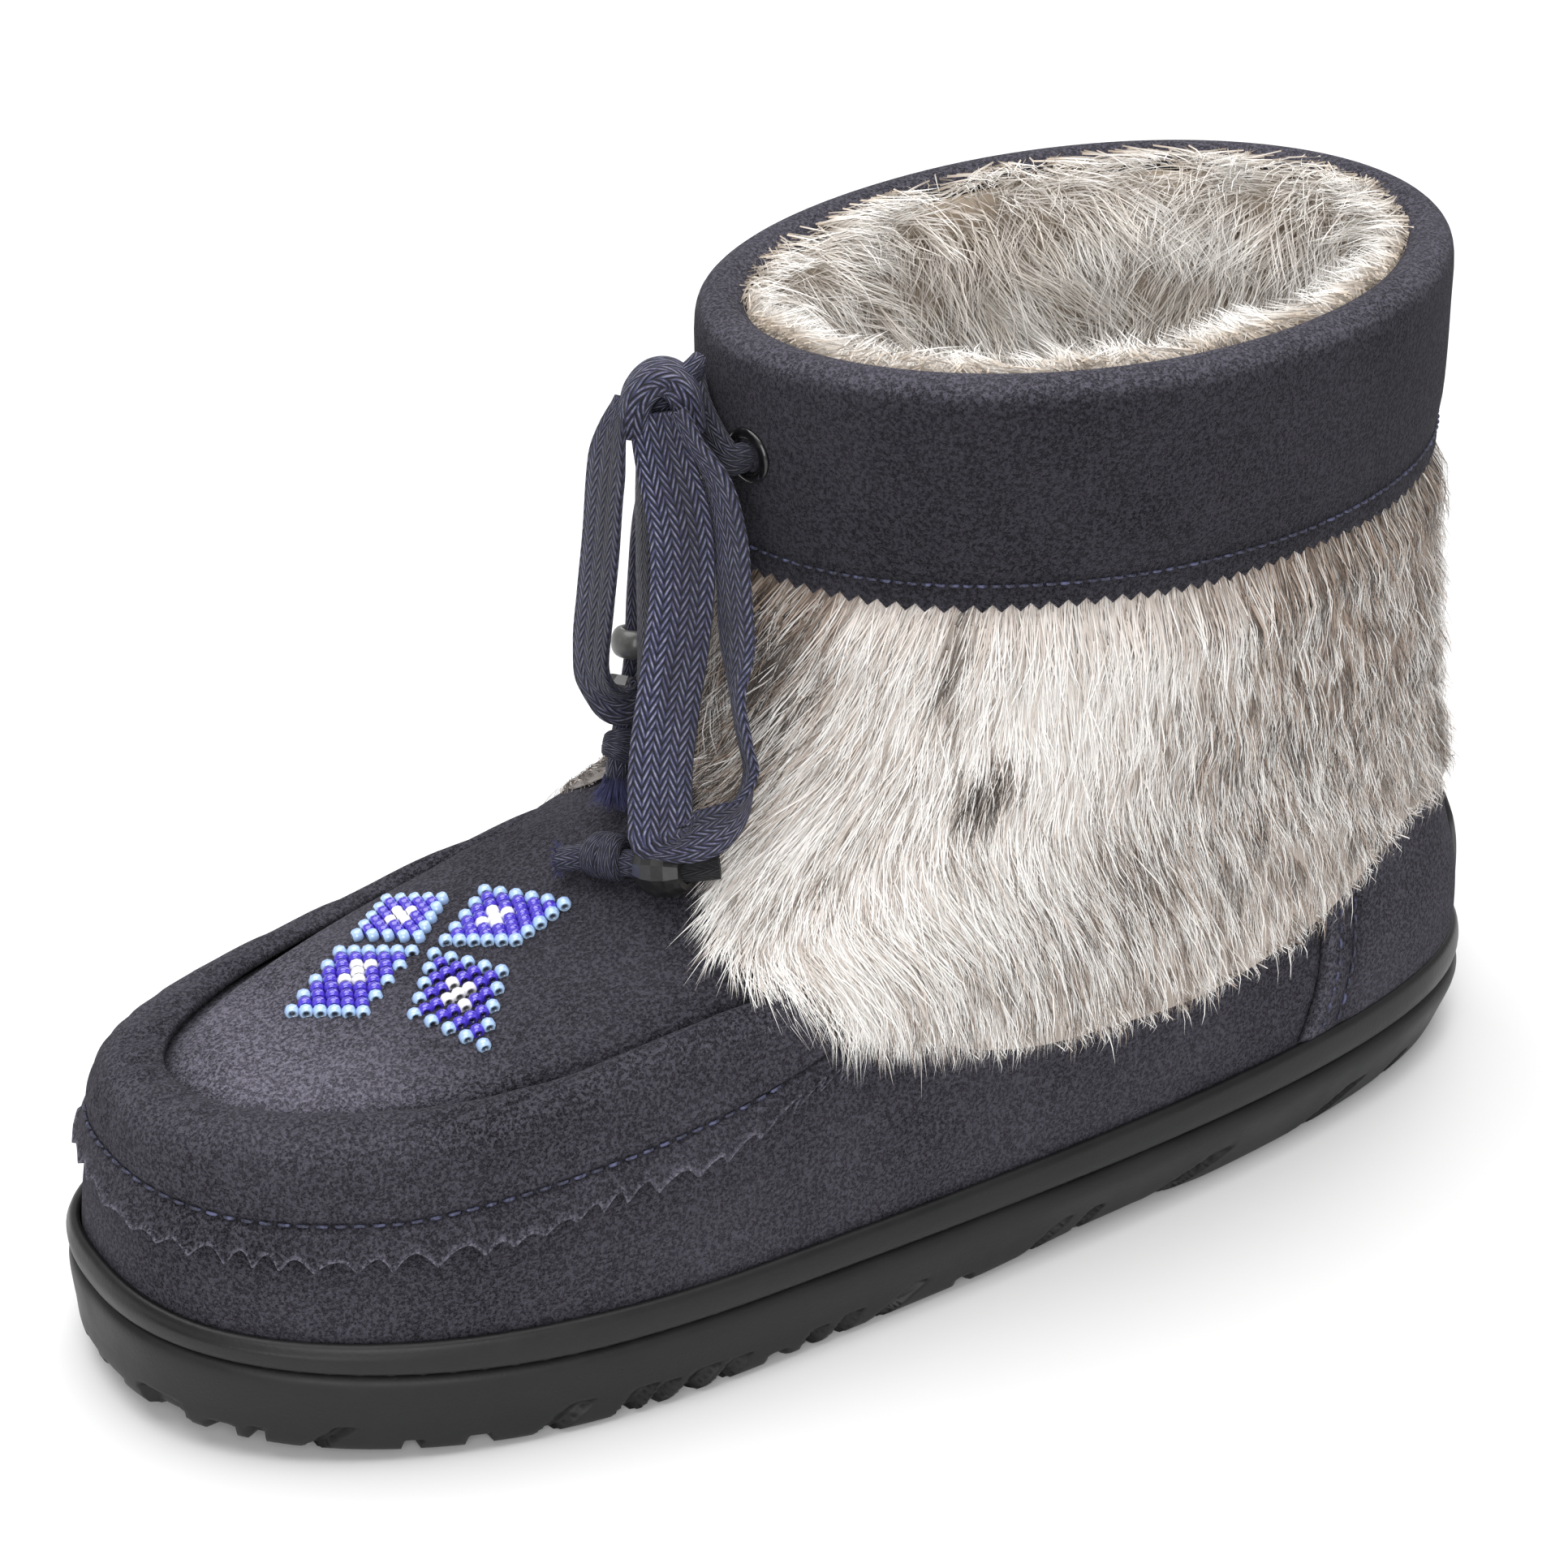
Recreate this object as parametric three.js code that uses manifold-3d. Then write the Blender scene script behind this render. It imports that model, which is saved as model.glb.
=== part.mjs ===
// Ankle-high moccasin slipper boot for the left foot: lugged rubber sole, suede upper,
// rolled apron, fur band, folded cuff, drawn lace with beads. Millimetres, +Z up.
// Toe points to -X, the outer side of the foot is -Y, the sole stands on z = 0.
import * as THREE from 'three';
import { mergeVertices } from 'three/addons/utils/BufferGeometryUtils.js';
import Module from 'manifold-3d';

const wasm = await Module();
wasm.setup();

// Named sizes
const LENGTH = 280;
const BALL_WIDTH = 98.8;
const HEEL_HEIGHT = 60;
const INSTEP_HEIGHT = 86;
const COLLAR_HEIGHT = 165.3;
const WALL = 2.6;
const GAP = 0.3;
const SOLE_EDGE = 2.8;
const TOE_SPRING = 4.8;
const SOLE_THICK = 15.4;
const SOLE_FALL = 2.3;
const BAND_HEIGHT = 6.1;
const ARCH_RISE = 1.2;
const TREAD_DEPTH = 3.6;
const INSOLE_THICK = 5;
const OVERLAY = 1.1;
const ROLL_HEIGHT = 3.4;
const FUR_DEPTH = 5.2;
const CUFF_HEM = 129.5;
const CUFF_OUT = 4.1;
const CUFF_IN = 1.9;
const RIM_TURN = 9;
const LACE_WIDTH = 10.5;
const LACE_THICK = 2.6;

// Sections of the upper, one row per ring from the sole to the collar.
// front, wide, back: where the ring starts, is widest and ends along the foot.
// toe: sideways lean of its front. outer, inner: half widths. nf, nb: fullness of its
// front and back. waist: hollow of the inner side. z0 to z180: height at the front,
// 30, 60 and 90 degrees round, and at the back.
const H = LENGTH / 2;
const W = BALL_WIDTH / 2;
const SECTIONS = [
  ['name', 'front', 'wide', 'back', 'toe', 'outer', 'inner', 'nf', 'nb', 'waist', 'z0', 'z30', 'z60', 'z90', 'z180'],
  ['feather', -H + 3.0, -38, H - 3.0, 8.0, W - 3.2, W - 2.8, 2.45, 2.95, 0.10, 22.3, 20.4, 18.2, 16.6, 15.1],
  ['border', -H + 2.8, -38, H - 2.8, 8.0, W - 3.0, W - 2.6, 2.45, 2.95, 0.10, 27.2, 24.8, 22.8, 21.5, 20.6],
  ['wall', -H + 4.8, -36, H - 3.5, 8.0, W - 3.4, W - 3.2, 2.45, 2.95, 0.09, 41.0, 38.0, 36.5, 34.0, 34.0],
  ['shoulder', -H + 8.5, -30, H - 6.0, 7.5, W - 5.6, W - 6.9, 2.40, 2.80, 0.07, 53.0, 51.5, 50.0, 48.0, 47.0],
  ['plug', -H + 17.5, -10, H - 8.5, 5.5, W - 8.4, W - 12.4, 2.15, 2.55, 0.05, 58.5, 59.0, 61.0, 63.0, HEEL_HEIGHT],
  ['crown', -H + 44.0, 10, H - 11.0, 4.5, W - 8.9, W - 11.4, 2.00, 2.40, 0.03, 63.5, 64.5, 68.0, 73.0, 70.0],
  ['instep', -H + 82.0, 30, H - 13.0, 3.5, W - 8.9, W - 9.9, 2.00, 2.30, 0.0, 71.0, 72.5, 77.0, 82.0, 80.0],
  ['throat', -H + 114.0, 45, H - 14.5, 3.0, W - 8.4, W - 8.9, 2.00, 2.20, 0.0, INSTEP_HEIGHT, 87.5, 90.0, 93.0, 90.0],
  ['ankle', -H + 125.0, 52, H - 16.5, 3.2, W - 7.4, W - 7.9, 2.00, 2.10, 0.0, 104.0, 104.0, 105.0, 106.0, 104.0],
  ['shaft', -H + 128.5, 55, H - 19.0, 3.4, W - 5.9, W - 6.4, 2.00, 2.00, 0.0, 127.0, 127.0, 127.0, 127.0, 127.0],
  ['collar', -H + 128.0, 55, H - 19.4, 3.4, W - 3.9, W - 3.9, 2.00, 2.00, 0.0,
    COLLAR_HEIGHT, COLLAR_HEIGHT, COLLAR_HEIGHT, COLLAR_HEIGHT, COLLAR_HEIGHT],
];
const COLUMNS = SECTIONS[0].slice(1);
const RINGS = SECTIONS.slice(1).map((row) => row.slice(1));
const LAST = RINGS.length - 1;

// Edges on the upper, as [degrees round from the toe, ring number] rows
const PINKED_EDGE = [[0, 2.05], [33, 2.1], [53, 2.15], [65, 2.35], [76, 2.6], [84.5, 2.83], [89, 3.15], [93, 3.6]];
const PLUG_EDGE = [[0, 4], [48, 4.05], [58, 4.2], [65, 4.8], [75, 4.9], [85, 4.5], [93, 4.05]];
const FUR_EDGE = [[0, 7.25], [15, 7.05], [28, 6.6], [55, 5.65], [66, 5.2], [76, 4.7], [85, 4.08], [91, 3.55], [96, 3.1],
  [100, 2.85], [112, 2.65], [120, 2.8], [127, 2.98], [135, 3.35], [143, 3.6], [160, 3.55], [180, 3.7]];
const COUNTER_EDGE = [[0, 122.5], [1, 123], [3, 128], [4, 131]];

// Sole tread cuts: [x, y, length, width, degrees turned]
const TREAD_CUTS = [
  [-128, 10, 3.5, 60, 12], [-112, -28, 4, 40, -18], [-112, 32, 4, 36, 24], [-99, -34, 4, 40, -18],
  [-99, 38, 4, 36, 24], [-86, -38, 4, 40, -18], [-86, 42, 4, 36, 24], [-70, 2, 4.5, 40, 0],
  [-56, -44, 4, 34, 32], [-56, 44, 4, 34, -32], [-40, -46, 4, 34, 32], [-40, 46, 4, 34, -32],
  [-24, -46, 4, 30, 32], [-24, 44, 4, 30, -32], [-4, -46, 4, 26, 32], [54, -42, 4, 26, 24],
  [70, 0, 4.5, 46, 0], [86, -40, 4, 34, 20], [86, 38, 4, 34, -20], [102, -38, 4, 34, 20],
  [102, 36, 4, 34, -20], [118, 0, 4, 50, 0],
];

// Bead lozenges: four corners on the plug, [degrees round, ring number] each
const LOZENGES = [
  [[-23, 5.19], [-9, 5.56], [-20.5, 5.65], [-35, 5.15]],
  [[-2.5, 5.66], [9.5, 5.86], [7.5, 6.16], [-13.5, 5.9]],
  [[-3, 4.88], [9, 5.12], [-4.5, 5.51], [-18.5, 5.14]],
  [[0.5, 5.58], [17, 5.64], [36.5, 4.9], [17.5, 5.2]],
];
const LOZENGE_CELLS = 4;
const BEAD = 2.9;

// Lace: knot centre, and the routes of the bow loops and ends
const EYELETS = [['outer', 7.5], ['inner', -24]];
const EYELET_HEIGHT = 150.5;
const EYELET_BORE = 2.7;
const KNOT = [-26.6, 6.0, 160.6];
const LOOP_INNER = [[-35.6, 6.9, 152.6], [-36.5, 7.4, 147.1], [-37.1, 8.4, 134.8], [-37.9, 9.5, 123.1],
  [-38.4, 10.4, 113.7], [-37.5, 10.4, 107.8], [-34.7, 9.8, 104.1], [-31.2, 9.5, 103.2], [-28.7, 9.6, 106.4],
  [-27.8, 10.3, 116.1], [-27.8, 10.3, 128.5], [-27.9, 9.8, 140.9], [-28.4, 7.8, 150.4], [-28.9, 7.0, 153.1]];
const LOOP_OUTER = [[-29.8, 0.3, 153.2], [-29.1, -3.7, 142.0], [-30.3, -6.5, 132.3], [-32.7, -8.5, 122.5],
  [-35.9, -10.7, 112.9], [-39.5, -14.2, 104.2], [-42.3, -18.6, 96.8], [-43.2, -20.8, 93.9], [-38.2, -20.6, 92.9],
  [-32.8, -21.2, 93.4], [-28.3, -20.8, 95.6], [-25.4, -19.5, 101.2], [-25.8, -18.1, 107.6], [-26.0, -16.2, 115.4],
  [-25.1, -14.4, 123.1], [-24.5, -12.4, 133.4], [-23.8, -9.9, 142.1], [-24.5, -7.1, 150.0], [-26.2, -3.0, 154.9]];
const END_INNER = [[-21.2, 8.8, 153.0], [-20.4, 15.8, 145.0], [-21.2, 21.4, 132.0], [-22.6, 22.0, 117.0],
  [-24.8, 19.8, 104.5], [-28.2, 17.0, 96.8], [-31.6, 13.8, 90.8], [-34.4, 11.2, 86.2]];
const END_OUTER = [[-31.7, -19.8, 84.8], [-36.2, -17.0, 84.2], [-39.0, -12.5, 83.1], [-42.8, -5.6, 81.8],
  [-45.6, 0.4, 80.6], [-49.6, 5.4, 78.8]];
const END_KNOTS = { inner: [-31.6, 13.8, 90.8], outer: [-43.6, -3.0, 81.9] };
// Beads on the ends: [name, centre, direction, radius, length]
const LACE_BEADS = [
  ['grey', [-24.2, 20.4, 107.2], [-1.8, -1.8, -9], 4.4, 5],
  ['dark', [-27.4, 17.7, 98.4], [-3.6, -2.8, -7.2], 5.4, 7],
  ['low', [-38.5, -13.3, 83.4], [-5.6, 9.6, -2.2], 5.2, 9.0],
];

// A smooth value through rows of numbers at equal steps
function along(values, t) {
  const n = values.length;
  const u = Math.min(Math.max(t, 0), n - 1);
  const i = Math.min(Math.floor(u), n - 2);
  const f = u - i;
  const p1 = values[i];
  const p2 = values[i + 1];
  const p0 = i > 0 ? values[i - 1] : 2 * p1 - p2;
  const p3 = i < n - 2 ? values[i + 2] : 2 * p2 - p1;
  const cubic = (3 * p1 - p0 - 3 * p2 + p3) * f * f * f;
  return 0.5 * (2 * p1 + (p2 - p0) * f + (2 * p0 - 5 * p1 + 4 * p2 - p3) * f * f + cubic);
}

// A straight-line value through [position, value] rows
function at(rows, position) {
  let k = 1;
  while (k < rows.length - 1 && rows[k][0] < position) k += 1;
  const [a, va] = rows[k - 1];
  const [b, vb] = rows[k];
  const f = Math.min(Math.max((position - a) / (b - a), 0), 1);
  return va + (vb - va) * f;
}

const smooth = (f) => {
  const c = Math.min(Math.max(f, 0), 1);
  return c * c * (3 - 2 * c);
};
const around = (degrees) => Math.abs(((degrees + 540) % 360) - 180);

// Point of the upper's outer face at a ring number and an angle round it
function face(ring, degrees) {
  const r = {};
  COLUMNS.forEach((name, k) => {
    r[name] = along(RINGS.map((row) => row[k]), ring);
  });
  const c = Math.cos((degrees * Math.PI) / 180);
  const s = Math.sin((degrees * Math.PI) / 180);
  const n = c >= 0 ? r.nf : r.nb;
  const reach = Math.abs(c) ** (2 / n);
  const spread = Math.abs(s) ** (2 / n);
  const x = r.wide + ((c >= 0 ? r.front : r.back) - r.wide) * reach;
  const hollow = s < 0 ? 1 - 2.4 * r.waist * Math.exp(-(((x - 38) / 45) ** 2)) : 1;
  const half = (s >= 0 ? r.outer : r.inner) * hollow;
  const y = (c >= 0 ? r.toe * reach * reach : 0) - Math.sign(s) * half * spread;
  const rise = r.z180 - r.z90;
  const heights = [r.z30, r.z0, r.z30, r.z60, r.z90, r.z90 + 0.25 * rise, r.z90 + 0.75 * rise, r.z180,
    r.z90 + 0.75 * rise];
  const z = along(heights, around(degrees) / 30 + 1);
  return new THREE.Vector3(x, y, z);
}

// The same point moved out along the upper's normal
function off(ring, degrees, distance) {
  const d = 0.04;
  const r0 = Math.max(ring - d, 0);
  const r1 = Math.min(ring + d, LAST);
  const up = face(r1, degrees).sub(face(r0, degrees));
  const round = face(ring, degrees + 0.8).sub(face(ring, degrees - 0.8));
  const normal = up.cross(round).normalize();
  const p = face(ring, degrees);
  const axis = new THREE.Vector3(Math.min(Math.max(p.x, -60), 80), 3, Math.min(p.z, 50));
  if (p.z > 60 && p.x > -20) axis.set(55, 3, p.z);
  if (normal.dot(p.clone().sub(axis)) < 0) normal.negate();
  return p.addScaledVector(normal, distance);
}

// Heights of the sole along the foot
const place = (x) => (x + H) / LENGTH;
const spring = (x) => TOE_SPRING * Math.max(1 - place(x) / 0.25, 0) ** 1.7;
const soleTop = (x) => SOLE_THICK - SOLE_FALL * (place(x) - 0.5) + spring(x);
const soleFoot = (x) => {
  const arch = ARCH_RISE * smooth((x - 4) / 26) * smooth((60 - x) / 20);
  const heel = 1.2 * smooth((x - 118) / 22);
  return spring(x) + arch + heel;
};
const tuck = (x) => 1 + 2.4 * smooth((x + 90) / 150);

// Point of the sole's outline, drawn in by a distance
function outline(degrees, inset) {
  const p = off(1, degrees, SOLE_EDGE - inset);
  return new THREE.Vector2(p.x, p.y);
}

function centre(degrees) {
  const p = face(1, degrees);
  const x = Math.min(Math.max(p.x, -H + 30), H - 30);
  return new THREE.Vector2(x, 6 * Math.max(-x / H, 0) ** 2);
}

// Closed solid from triangles given as corner points
function solid(points, faces) {
  const position = new Float32Array(points.length * 3);
  points.forEach((p, i) => p.toArray(position, i * 3));
  let geometry = new THREE.BufferGeometry();
  geometry.setAttribute('position', new THREE.BufferAttribute(position, 3));
  geometry.setIndex(faces.flat());
  geometry = mergeVertices(geometry, 1e-3);
  const index = geometry.index.array;
  const kept = [];
  for (let i = 0; i < index.length; i += 3) {
    const [a, b, c] = [index[i], index[i + 1], index[i + 2]];
    if (a !== b && b !== c && c !== a) kept.push(a, b, c);
  }
  geometry.setIndex(kept);
  return outward(geometry);
}

// Turns a solid right side out
function outward(geometry) {
  const p = geometry.attributes.position;
  const index = Array.from(geometry.index.array);
  const [a, b, c] = [new THREE.Vector3(), new THREE.Vector3(), new THREE.Vector3()];
  let volume = 0;
  for (let i = 0; i < index.length; i += 3) {
    a.fromBufferAttribute(p, index[i]);
    b.fromBufferAttribute(p, index[i + 1]);
    c.fromBufferAttribute(p, index[i + 2]);
    volume += a.dot(b.cross(c));
  }
  if (volume < 0) {
    for (let i = 0; i < index.length; i += 3) [index[i], index[i + 1]] = [index[i + 1], index[i]];
    geometry.setIndex(index);
  }
  return geometry;
}

const quad = (a, b, c, d) => [[a, b, c], [a, c, d]];

// Solid through a stack of loops whose first and last loop close on themselves
function stack(loops) {
  const n = loops[0].length;
  const points = loops.flat();
  const faces = [];
  for (let i = 0; i < loops.length - 1; i += 1) {
    for (let j = 0; j < n; j += 1) {
      const k = (j + 1) % n;
      faces.push(...quad(i * n + j, i * n + k, (i + 1) * n + k, (i + 1) * n + j));
    }
  }
  return solid(points, faces);
}

// Solid ring: a closed profile carried round a closed path
function ringOf(profiles) {
  const n = profiles[0].length;
  const m = profiles.length;
  const faces = [];
  for (let i = 0; i < m; i += 1) {
    for (let j = 0; j < n; j += 1) {
      const k = (j + 1) % n;
      const next = (i + 1) % m;
      faces.push(...quad(i * n + j, i * n + k, next * n + k, next * n + j));
    }
  }
  return solid(profiles.flat(), faces);
}

// Solid patch: closed profiles side by side, capped at both ends
function patchOf(profiles) {
  const n = profiles[0].length;
  const m = profiles.length;
  const faces = [];
  for (let i = 0; i < m - 1; i += 1) {
    for (let j = 0; j < n; j += 1) {
      const k = (j + 1) % n;
      faces.push(...quad(i * n + j, i * n + k, (i + 1) * n + k, (i + 1) * n + j));
    }
  }
  for (const base of [0, (m - 1) * n]) {
    const half = n / 2;
    for (let j = 0; j < half - 1; j += 1) {
      const q = quad(base + j, base + j + 1, base + n - 2 - j, base + n - 1 - j);
      if (base === 0) q.forEach((t) => t.reverse());
      faces.push(...q);
    }
  }
  return solid(profiles.flat(), faces);
}

// Profile across a sheet that lies on the upper, through a list of ring numbers
function strip(degrees, rings, inner, outer) {
  const part = (i) => i / (rings.length - 1);
  const ahead = rings.map((ring, i) => off(ring, degrees, outer(part(i), degrees, ring)));
  const behind = rings.map((ring, i) => off(ring, degrees, inner(part(i), degrees, ring)));
  return ahead.concat(behind.reverse());
}

function body(geometry) {
  const g = geometry.clone();
  g.deleteAttribute('normal');
  g.deleteAttribute('uv');
  const merged = mergeVertices(g, 1e-4);
  return new wasm.Manifold(new wasm.Mesh({
    numProp: 3,
    vertProperties: Float32Array.from(merged.attributes.position.array),
    triVerts: Uint32Array.from(merged.index.array),
  }));
}

function geometryOf(manifold) {
  const mesh = manifold.getMesh();
  const geometry = new THREE.BufferGeometry();
  const position = new Float32Array(mesh.numVert * 3);
  for (let i = 0; i < mesh.numVert; i += 1) {
    for (let k = 0; k < 3; k += 1) position[i * 3 + k] = mesh.vertProperties[i * mesh.numProp + k];
  }
  geometry.setAttribute('position', new THREE.BufferAttribute(position, 3));
  geometry.setIndex(Array.from(mesh.triVerts));
  return geometry;
}

const largest = (manifold) => manifold.decompose().sort((a, b) => b.volume() - a.volume())[0];
const joined = (bodies) => bodies.reduce((sum, b) => sum.add(b));
const steps = (n, from, to) => Array.from({ length: n }, (_, i) => from + ((to - from) * i) / (n - 1));
const turn = (n) => Array.from({ length: n }, (_, i) => (360 * i) / n);

const root = new THREE.Group();
root.name = 'slipper_boot';

function add(name, geometry, color, roughness, metalness = 0) {
  geometry.computeVertexNormals();
  const material = new THREE.MeshStandardMaterial({ color, roughness, metalness });
  const mesh = new THREE.Mesh(geometry, material);
  mesh.name = name;
  root.add(mesh);
}

const RUBBER = 0x2f2f31;
const SUEDE = 0x3b3a44;

// Outsole: top plate, bulged side, tucked foot, then the tread cuts
function outsole() {
  const loop = (inset, height) => turn(42).map((d) => {
    const p = outline(d, typeof inset === 'function' ? inset(outline(d, 0).x) : inset);
    return new THREE.Vector3(p.x, p.y, height(p.x));
  });
  const middle = (height) => turn(42).map((d) => {
    const p = centre(d);
    return new THREE.Vector3(p.x, p.y, height(p.x));
  });
  const plate = stack([
    middle(soleTop),
    loop(1.4, soleTop),
    loop(0.3, (x) => soleTop(x) - 1.0),
    loop(0, (x) => soleTop(x) - 3.2),
    loop((x) => 0.45 * tuck(x), (x) => 0.45 * soleTop(x) + 0.55 * soleFoot(x)),
    loop(tuck, (x) => soleFoot(x) + 1.6),
    loop((x) => tuck(x) + 2, soleFoot),
    middle(soleFoot),
  ]);
  const cuts = TREAD_CUTS.map(([x, y, length, width, degrees]) => {
    const box = new THREE.BoxGeometry(length, width, 2 * TREAD_DEPTH);
    box.rotateZ((degrees * Math.PI) / 180);
    box.translate(x, y, soleFoot(x));
    return body(box);
  });
  return geometryOf(body(plate).subtract(joined(cuts)));
}

// Rand: band on the sole's edge round the foot of the upper, with a tongue up the heel
function rand() {
  const band = ringOf(turn(40).map((d) => {
    const low = face(0.06, d).z;
    const top = face(1, d).z;
    const edge = (inset, z) => {
      const p = outline(d, inset);
      return new THREE.Vector3(p.x, p.y, z);
    };
    const foot = soleTop(outline(d, 0).x) + GAP;
    const inner = off(1, d, GAP);
    const inside = off(0.06, d, GAP);
    return [
      new THREE.Vector3(inside.x, inside.y, Math.max(low, foot)),
      edge(1.3, foot),
      edge(0.5, foot + 1.2),
      edge(0, foot + 0.55 * BAND_HEIGHT),
      edge(1.1, top - 0.4),
      inner,
    ];
  }));
  const tongue = patchOf(steps(7, 169, 191).map((d) => {
    const lift = 3.1 - 0.9 * Math.abs((d - 180) / 11) ** 3;
    return strip(d, steps(5, 0.75, lift), () => OVERLAY + 2 * GAP, (f) => 2.75 + 0.5 * Math.sin(2.6 * f));
  }));
  return geometryOf(body(band).add(body(tongue)));
}

function insole() {
  const loop = (inset, lift) => turn(40).map((d) => {
    const p = off(0.35, d, -WALL - GAP - inset);
    return new THREE.Vector3(p.x, p.y, soleTop(p.x) + lift);
  });
  const middle = (lift) => turn(40).map((d) => {
    const p = centre(d);
    return new THREE.Vector3(p.x, p.y, soleTop(p.x) + lift);
  });
  return stack([middle(GAP), loop(0.6, GAP), loop(0.3, INSOLE_THICK), middle(INSOLE_THICK - 0.8)]);
}

// Upper: one wall from the feather line to the collar
function upper(swell) {
  const rings = [0, 1, 2, 3, 3.6, 4.2, 4.8, 5.4, 6, 6.5, 7, 7.7, 8.8, 10];
  return ringOf(turn(40).map((d) => {
    const outer = rings.map((r) => off(r, d, swell));
    const inner = rings.map((r) => off(r, d, -WALL));
    return outer.concat(inner.reverse());
  }));
}

// Rolled rim of the apron, across its width from the pinked edge to the plug
const roll = (f, degrees) => {
  const ridge = [0, 0.2, 0.8, 1, 0][Math.round(4 * f)];
  return GAP + OVERLAY + ROLL_HEIGHT * ridge * smooth((92 - around(degrees)) / 34);
};
const across = (low, top) => [0, 0.35, 0.6, 0.8, 1].map((f) => low + (top - low) * f);
const pinked = (degrees, tooth) => at(PINKED_EDGE, around(degrees)) + 0.13 * (tooth % 2);

function apron() {
  const angles = steps(51, -91, 91);
  return patchOf(angles.map((d, i) => {
    const rings = across(pinked(d, i), at(PLUG_EDGE, around(d)));
    return strip(d, rings, () => 2.2 * GAP, roll);
  }));
}

function heelCounter() {
  const rows = steps(4, 1.12, 4.1);
  return patchOf(rows.map((ring) => {
    const side = at(COUNTER_EDGE, ring);
    const angles = steps(19, side, 360 - side);
    const ahead = angles.map((d) => off(ring, d, GAP + OVERLAY));
    const behind = angles.map((d) => off(ring, d, 2 * GAP));
    return ahead.concat(behind.reverse());
  }));
}

// Fur band round the ankle with locks along its lower edge
function furBand() {
  const hem = (f, d) => 0.3 + 0.42 * smooth((around(d) - 40) / 30) + 0.28 * f + 0.42 * f * (1 - f);
  const depth = (f, d, ring) => GAP + 1.2 + (FUR_DEPTH - 1.2) * smooth((8.99 - ring) / 0.3) * hem(f, d);
  const hide = (d) => {
    const rings = steps(5, at(FUR_EDGE, around(d)), 8.7).concat([8.99, 9.35]);
    return strip(d, rings, () => 4 * GAP, depth);
  };
  const band = ringOf(turn(40).map(hide));
  const locks = turn(24).map((d, i) => {
    const low = at(FUR_EDGE, around(d));
    const millimetre = 0.3 / face(low, d).distanceTo(face(low - 0.3, d));
    const reach = (around(d) < 32 ? 4 : 8 + (((i * 7) % 5) / 4) * 4) * millimetre;
    const lean = 1.6 * (((i * 3) % 5) / 2 - 1);
    const wide = 5.4;
    const out = 3.0 + 1.4 * smooth((around(d) - 40) / 30);
    const ring = (r, half, height) => [
      off(r, d + lean - half, 4.5 * GAP),
      off(r, d + lean + half, 4.5 * GAP),
      off(r, d + lean, GAP + height),
    ];
    const root3 = ring(low + 6 * millimetre, wide, out);
    const mid3 = ring(low - 0.2 * reach, 0.75 * wide, 0.9 * out);
    const tip = off(low - reach, d + 1.6 * lean, GAP + 1.2);
    const points = root3.concat(mid3, [tip]);
    const faces = [[0, 1, 2], [4, 3, 6], [5, 4, 6], [3, 5, 6]];
    for (let k = 0; k < 3; k += 1) faces.push(...quad(k, 3 + k, 3 + ((k + 1) % 3), (k + 1) % 3));
    return body(solid(points, faces));
  });
  return joined([body(band), ...locks]);
}

// Room under the fur for the sheets it lies on
function underFur() {
  const base = () => -1;
  const sheets = [-1, 1].map((side) => patchOf(steps(6, 57, 96).map((d) => {
    const rings = across(pinked(d, 0) - 0.15, at(PLUG_EDGE, d) + 0.2);
    return strip(side * d, rings, base, (f) => roll(f, d - 3) + 2 * GAP);
  })));
  const heel = patchOf(steps(12, 121.5, 238.5).map((d) => {
    return strip(d, steps(4, 1.0, 4.25), base, () => OVERLAY + 4 * GAP);
  }));
  const tongue = patchOf(steps(4, 167, 193).map((d) => strip(d, steps(3, 0.75, 3.4), base, () => 3.7 + GAP)));
  return joined([...sheets, heel, tongue].map(body));
}

// Cuff: a band turned over the collar's rim
function cuffPoint(degrees, out, z) {
  const ring = LAST - 1 + (Math.min(z, COLLAR_HEIGHT) - 127) / (COLLAR_HEIGHT - 127);
  const p = off(ring, degrees, out);
  p.z = z;
  return p;
}

function cuff() {
  const band = ringOf(turn(40).map((d) => {
    const hem = CUFF_HEM - 1;
    const top = COLLAR_HEIGHT;
    const section = [
      [CUFF_OUT, hem], [CUFF_OUT + 0.4, 146], [CUFF_OUT, top], [2.6, top + 3.4], [-0.6, top + 4.4],
      [-3.6, top + 3], [-5, top], [-5, top - RIM_TURN], [-WALL - 1.5 * GAP, top - RIM_TURN],
      [-WALL - 1.5 * GAP, top + 1.5 * GAP], [CUFF_IN, top + 1.5 * GAP], [CUFF_IN, hem],
    ];
    return section.map(([out, z]) => cuffPoint(d, out, z));
  }));
  const holes = EYELETS.map(([, d]) => body(bore(d, EYELET_BORE + 1.5, 12, 0, 10)));
  return geometryOf(holes.reduce((rest, hole) => rest.subtract(hole), body(band)));
}

// Round bar through the cuff wall at an eyelet
function bore(degrees, radius, length, out, sides) {
  const rod = new THREE.CylinderGeometry(radius, radius, length, sides);
  return seat(rod, degrees, out);
}

function seat(geometry, degrees, out) {
  const p = cuffPoint(degrees, CUFF_OUT + out, EYELET_HEIGHT);
  const q = cuffPoint(degrees, CUFF_OUT + out + 5, EYELET_HEIGHT);
  const axis = q.sub(p).normalize();
  const spin = new THREE.Quaternion().setFromUnitVectors(new THREE.Vector3(0, 1, 0), axis);
  geometry.applyQuaternion(spin);
  geometry.translate(p.x, p.y, p.z);
  return geometry;
}

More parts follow.
